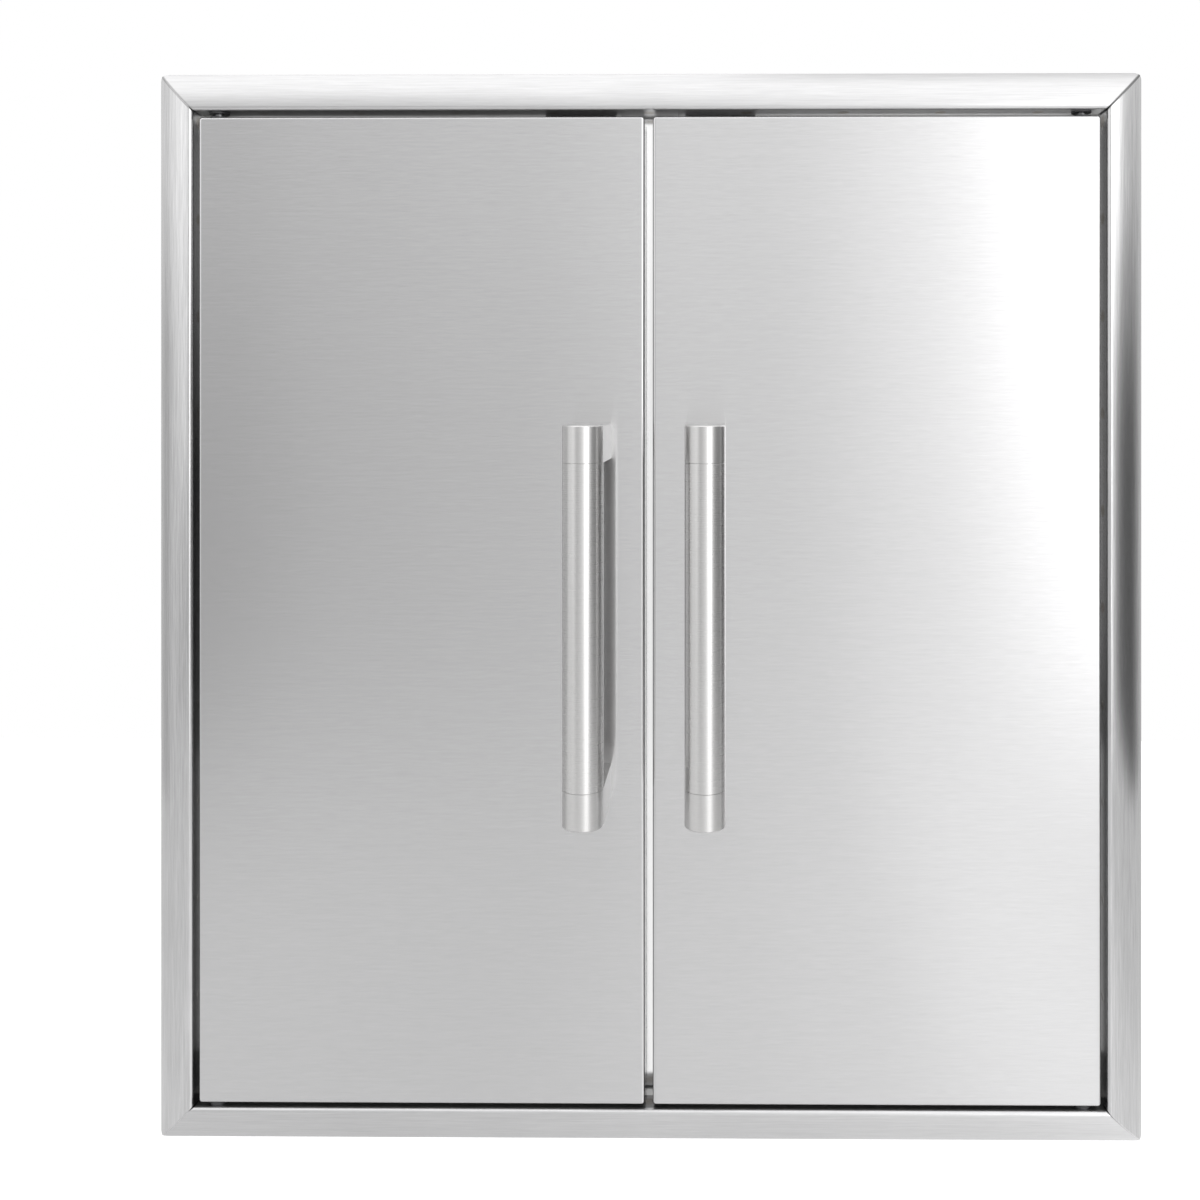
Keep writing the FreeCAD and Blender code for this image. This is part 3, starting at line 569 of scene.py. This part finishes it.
class ACCESSDOOR_OT_finishes(bpy.types.Operator):
    """Make the shared grain and every finish"""
    bl_idname = "access_door.finishes"
    bl_label = "Finishes"

    def execute(self, context):
        finish = context.scene.access_door_finish
        brush_lines()
        weld_marks()
        sheet = tuple(finish.sheet_colour)
        handle = tuple(finish.handle_colour)
        door = finish.door_roughness
        trim = finish.trim_roughness
        bright = (0.98, 0.98, 0.98)
        mill = (0.46, 0.46, 0.455)
        level = (1, 0, 0)
        upright = (0, 0, 1)
        grain = level, (110, 2800, 2800), 0.055, 0.3, 0.000002, 1.0
        steel("door_skin_steel", sheet, door, *grain)
        welded_liner(steel("liner_steel", sheet, door, *grain))
        rail = steel("rail_steel", sheet, trim, level, (60, 2600, 2600), 0.1, 0.4, 0.000003, 0.8)
        stile = steel("stile_steel", sheet, trim * 0.75, upright, (2400, 2400, 60), 0.16, 0.5, 0.000003, 0.8)
        # Painted shade and light on the trims' returns, and the mitres' dark line with its painted reflection
        shade_painted_trim(rail, (1, 0, 1), (0.15, 0.5), (0.26, 1.7))
        shade_painted_trim(stile, (0.35, 0, 1), (-0.02, 0.16), (0.2, 1.6))
        steel("mullion_steel", bright, 0.13, upright, (2600, 2600, 20), 0.03, 0.3, 0.000002, 0.4)
        steel("sleeve_steel", mill, 0.34, level, (60, 60, 60), 0.05, 0.7, 0.000005, 0.3)
        steel("tube_steel", handle, 0.28, None, (30, 30, 5200), 0.05, 0.2, 0.0000025, 0.8)
        steel("bracket_steel", handle, 0.3, None, (300, 300, 4200), 0.05, 0.3, 0.000004, 0.6)
        plain_finish("zinc_plate", (0.58, 0.60, 0.62), 0.34, 1.0, 260)
        plain_finish("bright_steel", (0.62, 0.61, 0.6), 0.2, 1.0, 900, 0.04, 0.000005)
        plain_finish("blackened_steel", (0.2, 0.2, 0.205), 0.36, 1.0, 900, 0.06, 0.000005)
        plain_finish("dark_plate", (0.09, 0.09, 0.095), 0.38, 1.0, 500)
        plain_finish("nylon_moulding", (0.045, 0.045, 0.048), 0.45, 0.0, 500)
        plain_finish("catch_moulding", (0.34, 0.34, 0.345), 0.5, 0.0, 900, 0.15)
        plain_finish("ferrite_magnet", (0.055, 0.052, 0.05), 0.62, 0.0, 1500, 0.3, 0.00006)
        plain_finish("bumper_rubber_grey", (0.03, 0.03, 0.03), 0.7, 0.0, 700, 0.3)
        return {"FINISHED"}


class ACCESSDOOR_OT_trim(bpy.types.Operator):
    """Finish the four mitred members of the raised trim"""
    bl_idname = "access_door.trim"
    bl_label = "Raised trim"

    def execute(self, context):
        sizes = context.scene.access_door_trim
        skin, outward, dressed = self.section(sizes)
        for side, sign in zip(SIDES, (-1, 1)):
            along, out, front = self.member(sizes, skin, outward, dressed, OPENING_TALL)
            sheets = [(np.stack([sign * (OPENING_HALF + o), -f, OPENING_MIDDLE + a], -1), False, wrap)
                      for a, o, f, wrap in zip(along, out, front, (True, False, False))]
            stile = make_piece(side + "_mitred_stile", sheets)
            dress(stile, "stile_steel", "frame", "trim_" + side + "_stile")
        rails = (("top", 1, OPENING_HIGH, BUSH_BORE), ("bottom", -1, OPENING_LOW, STUD_BORE))
        for name, sign, edge, radius in rails:
            along, out, front = self.member(sizes, skin, outward, dressed, OPENING_HALF)
            sheets = [(np.stack([a, -f, edge + sign * o], -1), False, wrap)
                      for a, o, f, wrap in zip(along, out, front, (True, False, False))]
            rail = make_piece(name + "_mitred_rail", sheets)
            bored(rail, [((x, PIVOT.y, edge), radius, 0.002) for x in (PIVOT.x, -PIVOT.x)])
            dress(rail, "rail_steel", "frame", "trim_" + name + "_rail")
        return {"FINISHED"}

    def section(self, sizes):
        """The sheet's outer line as (outward, forward) points, its outward directions and its dressed part.

        Straight runs and arcs follow each other without a kink: up along the opening, over the crest bend,
        down the crowned face, round the edge bend, and back along the wall. The crown is the one arc that
        leaves the crest at its slope and meets the edge bend.
        """
        crest = np.array([sizes.crest_bend, sizes.crest_rise - sizes.crest_bend])
        edge = np.array([sizes.face_width - sizes.edge_bend, sizes.hem_bend + sizes.edge_wall])
        hem = np.array([sizes.face_width - sizes.hem_bend, sizes.hem_bend])
        leaving = np.array([math.sin(sizes.crest_slope), math.cos(sizes.crest_slope)])
        start = crest + leaving * sizes.crest_bend
        chord = start - edge
        crown = (chord @ chord - sizes.edge_bend ** 2) / (2 * (chord @ leaving - sizes.edge_bend))
        centre = start - leaving * crown
        meeting = math.atan2(edge[1] - centre[1], edge[0] - centre[0])
        quarter = math.pi / 2
        runs = (
            self.run((0, 0), (0, crest[1]), (-1, 0)),
            self.bend(crest, sizes.crest_bend, 2 * quarter, quarter - sizes.crest_slope, 16),
            self.bend(centre, crown, quarter - sizes.crest_slope, meeting, 36),
            self.bend(edge, sizes.edge_bend, meeting, 0, 10),
            self.run((sizes.face_width, edge[1]), (sizes.face_width, hem[1]), (1, 0)),
            self.bend(hem, sizes.hem_bend, 0, -quarter, 8),
            self.run((hem[0], 0), (hem[0] - sizes.hem_flange, 0), (0, -1)),
        )
        shown = [np.full(len(points) - 1, 1.0 if 0 < i < 5 else 0.0) for i, (points, _) in enumerate(runs)]
        dressed = np.concatenate(shown)
        skin = np.concatenate([points[:-1] for points, _ in runs] + [runs[-1][0][-1:]])
        outward = np.concatenate([turns[:-1] for _, turns in runs] + [runs[-1][1][-1:]])
        return skin, outward, np.append(dressed, 0.0)

    def run(self, start, end, outward):
        """A straight run of the sheet in three points, which all face the same way."""
        share = np.linspace(0, 1, 3)[:, None]
        points = np.array(start) * (1 - share) + np.array(end) * share
        return points, np.repeat([outward], 3, axis=0).astype(float)

    def bend(self, centre, radius, start, end, steps):
        """An arc between two angles, whose points face away from its centre."""
        angle = np.linspace(start, end, steps + 1)
        outward = np.stack([np.cos(angle), np.sin(angle)], -1)
        return centre + radius * outward, outward

    def member(self, sizes, skin, outward, dressed, half):
        """One member: its sheet carried along the opening's side, and the two faces of its mitred ends.

        Every point of the section ends on the mitre, as far past the opening's corner as it lies outward of
        the opening, or on the ground corner where that comes first. Near the ends the face sinks into the
        dressed seam, by the square of the distance left to its rim.
        """
        ground = sizes.face_width - sizes.corner_grind
        inside = skin - outward * sizes.sheet
        ends = np.array([0.0, 0.12, 0.25, 0.4, 0.55, 0.75, 1.0, 1.5]) * sizes.seam_width
        results = []
        for line, sunk in ((skin, dressed), (inside, dressed * 0)):
            beyond = np.clip(line[:, 0] - ground, 0, sizes.corner_grind)
            corner = ground + np.sqrt(sizes.corner_grind ** 2 - beyond ** 2)
            limit = half + np.where(line[:, 0] > ground, np.minimum(line[:, 0], corner), line[:, 0])
            right = limit - ends[:, None]
            middle = np.linspace(1, -1, 9)[1:-1, None] * (limit - ends[-1])
            along = np.concatenate([right, middle, -right[::-1]])
            depth = sizes.seam_depth * np.clip(1 - ends / sizes.seam_width, 0, 1) ** 2
            depth = np.concatenate([depth, np.zeros(7), depth[::-1]])[:, None] * sunk
            out = line[:, 0] - depth * outward[:, 0]
            front = line[:, 1] - depth * outward[:, 1]
            results.append((along, out, front))
        tube = [np.concatenate([a, b[:, ::-1]], axis=1) for a, b in zip(*results)]
        first = [np.stack([a[0], b[0]]) for a, b in zip(*results)]
        last = [np.stack([a[-1], b[-1]]) for a, b in zip(*results)]
        return list(zip(tube, first, last))


class ACCESSDOOR_OT_sleeve(bpy.types.Operator):
    """Finish the sleeve and the centre mullion"""
    bl_idname = "access_door.sleeve"
    bl_label = "Sleeve and mullion"

    def execute(self, context):
        names = ("sleeve_sill", "sleeve_head", "sleeve_left_jamb", "sleeve_right_jamb")
        finish_nodes("sleeve_steel", *names)
        finish_nodes("mullion_steel", "centre_mullion")
        return {"FINISHED"}


class ACCESSDOOR_OT_doors(bpy.types.Operator):
    """Finish the doors' skins and what is fixed in them"""
    bl_idname = "access_door.doors"
    bl_label = "Doors"

    def execute(self, context):
        for side in SIDES:
            finish_nodes("door_skin_steel", side + "_door_pan")
            finish_nodes("liner_steel", side + "_door_liner")
            finish_nodes("zinc_plate", *[side + "_" + name for name in PLATED])
            finish_nodes("nylon_moulding", side + "_pivot_bushes")
        return {"FINISHED"}


class ACCESSDOOR_OT_handles(bpy.types.Operator):
    """Finish the bar handles' tubes and brackets"""
    bl_idname = "access_door.handles"
    bl_label = "Bar handles"

    def execute(self, context):
        for side in SIDES:
            finish_nodes("tube_steel", side + "_handle_tube")
            finish_nodes("bracket_steel", side + "_handle_brackets")
        return {"FINISHED"}


class ACCESSDOOR_OT_springs(bpy.types.Operator):
    """Wind the two pin springs"""
    bl_idname = "access_door.springs"
    bl_label = "Pin springs"

    def execute(self, context):
        hardware = context.scene.access_door_hardware
        for side, sign in zip(SIDES, (1, -1)):
            self.wind(hardware, side, sign)
        return {"FINISHED"}

    def wind(self, hardware, side, sign):
        """A round wire carried along a helix whose end turns are ground flat, closed at both ends by a pole.

        The angle grows evenly along the wire, and the height rises slowly over the first and the last turn.
        """
        wire = hardware.spring_wire / 2
        radius = (SPRING_HIGH.x - SPRING_LOW.x) / 2 - wire
        turns = hardware.spring_turns
        share = np.linspace(0, 1, turns * 22 + 1)
        angle = share * turns * 2 * math.pi
        rise = np.clip((share * turns - 0.8) / (turns - 1.6), 0, 1)
        low = SPRING_LOW.z + wire * 0.5
        high = SPRING_HIGH.z - wire * 0.5
        height = low + (high - low) * rise
        round_wire = np.linspace(0, 2 * math.pi, 10, endpoint=False)
        closing = 2000
        size = wire * np.minimum(1, np.minimum(share, 1 - share) * closing)[:, None]
        reach = radius + size * np.cos(round_wire)
        z = np.clip(height[:, None] + size * np.sin(round_wire), SPRING_LOW.z, SPRING_HIGH.z)
        x = sign * (PIVOT.x + reach * np.cos(angle)[:, None])
        y = PIVOT.y + reach * np.sin(angle)[:, None]
        coil = make_piece(side + "_wound_spring", [(np.stack([x, y, z], -1), False, True)], 60)
        coil.data.materials.append(finished("zinc_plate"))
        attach(coil, side + "_door")
        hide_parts(side + "_pin_spring")
        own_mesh(coil)


class ACCESSDOOR_OT_knobs(bpy.types.Operator):
    """Turn and knurl the two release knobs"""
    bl_idname = "access_door.knobs"
    bl_label = "Release knobs"

    def execute(self, context):
        ridges = context.scene.access_door_hardware.knurl_ridges
        for side in SIDES:
            self.turn(ridges, side)
        return {"FINISHED"}

    def turn(self, ridges, side):
        """A turned pin with a grip, knurled in diamonds: the product of two waves that wind opposite ways."""
        low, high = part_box(side + "_release_knob")
        centre = ((low.x + high.x) / 2, 0, (low.z + high.z) / 2)
        grip = (high.x - low.x) / 2
        start = high.y - 0.005
        knurled = np.linspace(start + 0.0008, high.y - 0.0012, 19)
        profile = [(0, low.y), (grip * 0.5, low.y), (grip * 0.5, start - 0.0004)]
        profile += [(grip * 0.56, start - 0.0001), (grip * 0.7, start), (grip * 0.88, start + 0.0002)]
        profile += [(grip * 0.94, start + 0.0006)]
        profile += [(grip * 0.95, y) for y in knurled]
        profile += [(grip * 0.92, high.y - 0.0009), (grip * 0.84, high.y - 0.0003), (grip * 0.76, high.y)]
        profile += [(grip * 0.5, high.y), (grip * 0.4, high.y - 0.0004), (0, high.y - 0.0004)]

        def diamonds(angle, height):
            lean = (height - start) * ridges / grip
            within = np.minimum(height - knurled[0], knurled[-1] - height)
            fade = np.clip(within / 0.0003, 0, 1)
            return 0.0002 * np.cos(ridges * angle + lean) * np.cos(ridges * angle - lean) * fade

        knob = make_piece(side + "_knurled_knob", [turned(profile, centre, "y", ridges * 8, diamonds)])
        dress(knob, "bright_steel", side + "_pin", side + "_release_knob")


class ACCESSDOOR_OT_screws(bpy.types.Operator):
    """Make the catches' cross-recess screws"""
    bl_idname = "access_door.screws"
    bl_label = "Catch screws"

    def execute(self, context):
        low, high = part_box("catch_screws")
        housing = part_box("catch_housings")[0]
        head = 0.0038
        apart = 0.034
        places = [(x, low.y + head) for x in (low.x + head, low.x + head + apart)]
        places += [(-x, y) for x, y in places]
        sheets = [self.screw((x, y), low.z, housing.z, high.z, head) for x, y in places]
        screws = make_piece("cross_recess_screws", sheets, 50)
        dress(screws, "dark_plate", "frame", "catch_screws")
        return {"FINISHED"}

    def screw(self, place, top, seat, tip, head):
        """A domed head with a tapered cross recess, on a threaded shank that points up.

        The recess deepens smoothly where a point lies within either arm of the cross, and the thread's radius
        swings as the cosine of the angle less the turns climbed.
        """
        sides = 40
        arm_half = 0.0006
        arm_reach = 0.0024
        recess = 0.0012
        pitch = 0.0008
        angle = np.linspace(0, 2 * math.pi, sides, endpoint=False)
        reach = np.linspace(0, 1, 18)[:, None] ** 0.8 * head
        x = reach * np.cos(angle)
        y = reach * np.sin(angle)
        dome = top + (seat - top) * 0.55 * (reach / head) ** 3
        arm = np.minimum(np.abs(x), np.abs(y)) < arm_half
        taper = np.clip(1 - np.maximum(np.abs(x), np.abs(y)) / arm_reach, 0, 1)
        heights = dome + arm * np.minimum(taper * 3, 1) * recess
        cap = np.stack([x, y, heights], -1)
        rise = np.arange(0, 1 + 1e-9, 1 / 140)[:, None] * (tip - seat)
        thread = 0.0018 + 0.0002 * np.cos(angle - rise * 2 * math.pi / pitch)
        thread = np.where(rise > tip - seat - pitch, thread * 0.9, thread)
        shank = np.stack([thread * np.cos(angle), thread * np.sin(angle), seat + rise + 0 * angle], -1)
        skirt = np.stack([head * np.cos(angle), head * np.sin(angle), np.full(sides, seat)], -1)[None]
        point = np.zeros((1, sides, 3)) + (0, 0, tip)
        whole = np.concatenate([cap, skirt, shank, point])
        return whole + np.array([*place, 0.0]), False, True


class ACCESSDOOR_OT_bumpers(bpy.types.Operator):
    """Mould the domed bumpers on the mullion"""
    bl_idname = "access_door.bumpers"
    bl_label = "Door bumpers"

    def execute(self, context):
        low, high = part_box("door_bumpers")
        radius = 0.0045
        share = np.linspace(0, math.pi / 2, 12)
        rise = high.y - low.y
        dome = [(radius * math.sin(a) ** 0.8, high.y - rise * math.cos(a)) for a in share]
        sheets = []
        for x in (low.x + radius, high.x - radius):
            for z in (low.z + radius, high.z - radius):
                sheets.append(turned(dome + [(0, high.y)], (x, 0, z), "y", 40))
        bumpers = make_piece("domed_bumpers", sheets)
        dress(bumpers, "bumper_rubber_grey", "frame", "door_bumpers")
        return {"FINISHED"}


class ACCESSDOOR_OT_hardware(bpy.types.Operator):
    """Finish the pins, bushes, studs and catches"""
    bl_idname = "access_door.hardware"
    bl_label = "Hinge and catch hardware"

    def execute(self, context):
        for side in SIDES:
            finish_nodes("blackened_steel", side + "_hinge_pin", side + "_pin_collar")
        finish_nodes("zinc_plate", "catch_pole_plates")
        finish_nodes("dark_plate", "sill_studs")
        finish_nodes("nylon_moulding", "head_bushes", "thrust_washers")
        finish_nodes("catch_moulding", "catch_housings")
        finish_nodes("ferrite_magnet", "catch_magnets")
        return {"FINISHED"}


class ACCESSDOOR_OT_stage(bpy.types.Operator):
    """Set the floor, the studio light and the camera"""
    bl_idname = "access_door.stage"
    bl_label = "Stage"

    def execute(self, context):
        stage = context.scene.access_door_stage
        self.lay_floor(stage)
        self.light_studio(context.scene)
        self.place_camera(context.scene, stage)
        return {"FINISHED"}

    def lay_floor(self, stage):
        """A flat square under the object, pale, with the shadow that falls on it."""
        reach = np.linspace(-FLOOR_HALF, FLOOR_HALF, 3)
        x, y = np.meshgrid(reach, reach)
        square = np.stack([x, y, np.full_like(x, stage.floor_level)], -1)
        floor = make_piece("studio_floor", [(square, False, False)])
        if floor.data.polygons[0].normal.z < 0:
            floor.data.flip_normals()
        material = bpy.data.materials.new("pale_floor")
        material.use_nodes = True
        tree = material.node_tree
        tree.nodes.clear()
        seen = node(tree, "ShaderNodeLightPath")
        matt = node(tree, "ShaderNodeBsdfDiffuse", Color=(0.66, 0.66, 0.66, 1))
        lift = node(tree, "ShaderNodeEmission", Color=(1, 1, 1, 1))
        across = self.ramp(tree, place_parts(tree)[0], FLOOR_GLOW, -FLOOR_HALF, FLOOR_HALF)
        glow = math_node(tree, "MULTIPLY", across, RAMP_SCALE)
        mirrored = math_node(tree, "MULTIPLY", glow, seen.outputs["Is Glossy Ray"])
        strength = math_node(tree, "MULTIPLY_ADD", seen.outputs["Is Camera Ray"], FLOOR_SEEN, mirrored)
        tree.links.new(strength, lift.inputs["Strength"])
        both = node(tree, "ShaderNodeAddShader")
        tree.links.new(matt.outputs[0], both.inputs[0])
        tree.links.new(lift.outputs[0], both.inputs[1])
        result = node(tree, "ShaderNodeOutputMaterial")
        tree.links.new(both.outputs[0], result.inputs["Surface"])
        floor.data.materials.append(material)

    def light_studio(self, scene):
        """Soft light from all round: brighter from the upper right, darker from the front left."""
        world = bpy.data.worlds.new("soft_studio")
        scene.world = world
        world.use_nodes = True
        tree = world.node_tree
        tree.nodes.clear()
        x, y, z = place_parts(tree, "Generated")
        back = math_node(tree, "MULTIPLY", y, -1.0)
        turn = math_node(tree, "MULTIPLY", math_node(tree, "ARCTAN2", x, back), 180 / math.pi)
        rise = math_node(tree, "MULTIPLY", math_node(tree, "ARCSINE", z), 180 / math.pi)
        ring = self.ramp(tree, turn, RING_LIGHT, -180, 180)
        dome = self.ramp(tree, rise, DOME_LIGHT, -90, 90)
        high = map_range(tree, rise, 34, 58, 1, 0)
        blend = node(tree, "ShaderNodeMix", data_type="RGBA")
        tree.links.new(high, blend.inputs[0])
        tree.links.new(dome, blend.inputs[6])
        tree.links.new(ring, blend.inputs[7])
        right = self.window(tree, turn, rise, (2, 28, 40, 62), (-30, 16, 20, 42))
        glow = self.window(tree, turn, rise, (-130, -105, 2, 20), (0, 12, 40, 60))
        glow = math_node(tree, "MULTIPLY", glow, map_range(tree, turn, -60, -16, 0.16, 0.07))
        light = math_node(tree, "MULTIPLY_ADD", right, WINDOW_LIGHT, glow)
        scaled = node(tree, "ShaderNodeMix", data_type="RGBA", blend_type="ADD")
        scaled.inputs[0].default_value = 1.0
        tree.links.new(blend.outputs[2], scaled.inputs[6])
        tree.links.new(light, scaled.inputs[7])
        flag = self.window(tree, turn, rise, (30, 46, 84, 122), (-90, -80, -2, 15))
        dusk = self.window(tree, turn, rise, (-78, -58, -32, -14), (-34, -18, -10, 2))
        behind = self.window(tree, turn, rise, (96, 120, 168, 179), (20, 34, 80, 89))
        shade = math_node(tree, "MULTIPLY_ADD", behind, BEHIND_DEPTH, flag)
        shade = math_node(tree, "MULTIPLY_ADD", dusk, DUSK_DEPTH, shade)
        shade = math_node(tree, "MINIMUM", shade, 1.0)
        shaded = node(tree, "ShaderNodeMix", data_type="RGBA")
        shaded.inputs[7].default_value = (0.03, 0.03, 0.03, 1)
        tree.links.new(shade, shaded.inputs[0])
        tree.links.new(scaled.outputs[2], shaded.inputs[6])
        studio = node(tree, "ShaderNodeBackground", Strength=RAMP_SCALE)
        tree.links.new(shaded.outputs[2], studio.inputs["Color"])
        white = node(tree, "ShaderNodeBackground", Color=(1, 1, 1, 1), Strength=1.0)
        seen = node(tree, "ShaderNodeLightPath")
        chosen = node(tree, "ShaderNodeMixShader")
        tree.links.new(seen.outputs["Is Camera Ray"], chosen.inputs[0])
        tree.links.new(studio.outputs[0], chosen.inputs[1])
        tree.links.new(white.outputs[0], chosen.inputs[2])
        result = node(tree, "ShaderNodeOutputWorld")
        tree.links.new(chosen.outputs[0], result.inputs["Surface"])
        scene.view_settings.view_transform = "Standard"

    def window(self, tree, turn, rise, across, upwards):
        """A soft-edged patch of the sky.

        It fades in between the first two angles of each pair of limits and out between the last two.
        """
        mask = math_node(tree, "MULTIPLY", map_range(tree, turn, *across[:2], 0, 1),
                         map_range(tree, turn, *across[2:], 1, 0))
        mask = math_node(tree, "MULTIPLY", mask, map_range(tree, rise, *upwards[:2], 0, 1))
        return math_node(tree, "MULTIPLY", mask, map_range(tree, rise, *upwards[2:], 1, 0))

    def ramp(self, tree, value, stops, low, high):
        """Brightness along a socket's value, from (value, brightness) stops; gives it as a colour."""
        made = node(tree, "ShaderNodeValToRGB")
        tree.links.new(map_range(tree, value, low, high, 0, 1, False), made.inputs[0])
        made.color_ramp.interpolation = "EASE"
        elements = made.color_ramp.elements
        for index, (at, brightness) in enumerate(stops):
            place = (at - low) / (high - low)
            stop = elements[index] if index < 2 else elements.new(place)
            if index < 2:
                stop.position = place
            stop.color = (*[brightness / RAMP_SCALE] * 3, 1)
        return made.outputs["Color"]

    def place_camera(self, scene, stage):
        """A level camera in front of the doors, whose frame is shifted as the photograph's is."""
        data = bpy.data.cameras.new("front_camera")
        camera = bpy.data.objects.new("front_camera", data)
        scene.collection.objects.link(camera)
        camera.location = stage.camera_place
        camera.rotation_euler = Euler((math.pi / 2, 0.0, stage.camera_turn))
        data.lens = stage.lens
        data.sensor_width = 36.0
        data.shift_x = -0.0875
        data.shift_y = -0.17
        data.clip_start = 0.05
        scene.camera = camera


FLOOR_HALF = 2.4
FLOOR_SEEN = 0.42
WINDOW_LIGHT = 0.64
BEHIND_DEPTH = 0.4
DUSK_DEPTH = 0.4
RAMP_SCALE = 2.5
# Brightness round the horizon, by the angle from straight in front, positive to the right
RING_LIGHT = (
    (-180, 0.15), (-152, 0.20), (-128, 0.85), (-98, 0.48), (-74, 0.86), (-48, 1.15), (-34, 0.74), (-23, 0.56),
    (-17, 0.66), (-10, 0.72), (0, 0.90), (10, 1.0), (20, 1.45), (30, 1.65), (44, 1.6), (60, 0.9), (100, 0.8),
    (128, 0.85), (152, 0.20), (180, 0.15),
)
# Brightness that the floor adds in reflections, by the place across it in metres
FLOOR_GLOW = (
    (-FLOOR_HALF, 0.0), (-1.5, 0.0), (-0.95, 0.1), (-0.3, 0.07), (0.05, 0.17), (0.25, 0.24), (0.5, 0.48),
    (0.92, 0.2), (1.5, 0.0), (FLOOR_HALF, 0.0),
)
# Brightness from below to above
DOME_LIGHT = ((-90, 0.8), (-30, 0.8), (30, 1.0), (46, 1.55), (62, 1.64), (78, 1.6), (90, 1.5))


class ACCESSDOOR_PT_dressing(bpy.types.Panel):
    """Lists the sizes, the colours and the steps"""
    bl_idname = "ACCESSDOOR_PT_dressing"
    bl_label = "Access Door"
    bl_space_type = "VIEW_3D"
    bl_region_type = "UI"
    bl_category = "Access Door"

    def draw(self, context):
        layout = self.layout
        for held in (context.scene.access_door_finish, context.scene.access_door_trim,
                     context.scene.access_door_hardware, context.scene.access_door_stage):
            for name in held.__annotations__:
                layout.prop(held, name)
        for step in STEPS:
            layout.operator(step.bl_idname)


GROUPS = {
    "access_door_trim": AccessDoorTrim,
    "access_door_finish": AccessDoorFinish,
    "access_door_hardware": AccessDoorHardware,
    "access_door_stage": AccessDoorStage,
}
STEPS = (
    ACCESSDOOR_OT_finishes,
    ACCESSDOOR_OT_trim,
    ACCESSDOOR_OT_sleeve,
    ACCESSDOOR_OT_doors,
    ACCESSDOOR_OT_handles,
    ACCESSDOOR_OT_springs,
    ACCESSDOOR_OT_knobs,
    ACCESSDOOR_OT_screws,
    ACCESSDOOR_OT_bumpers,
    ACCESSDOOR_OT_hardware,
    ACCESSDOOR_OT_stage,
)


def register():
    """Registers the classes and hangs the property groups on the scene."""
    for made in (*GROUPS.values(), *STEPS, ACCESSDOOR_PT_dressing):
        bpy.utils.register_class(made)
    for name, kind in GROUPS.items():
        setattr(bpy.types.Scene, name, PointerProperty(type=kind))


def unregister():
    """Takes the property groups and the classes away again."""
    for name in GROUPS:
        delattr(bpy.types.Scene, name)
    for made in (ACCESSDOOR_PT_dressing, *reversed(STEPS), *reversed(list(GROUPS.values()))):
        bpy.utils.unregister_class(made)


def main():
    """Dresses the frame step by step."""
    register()
    for step in STEPS:
        name = step.bl_idname.split(".")[1]
        getattr(bpy.ops.access_door, name)()


if __name__ == "__main__":
    main()
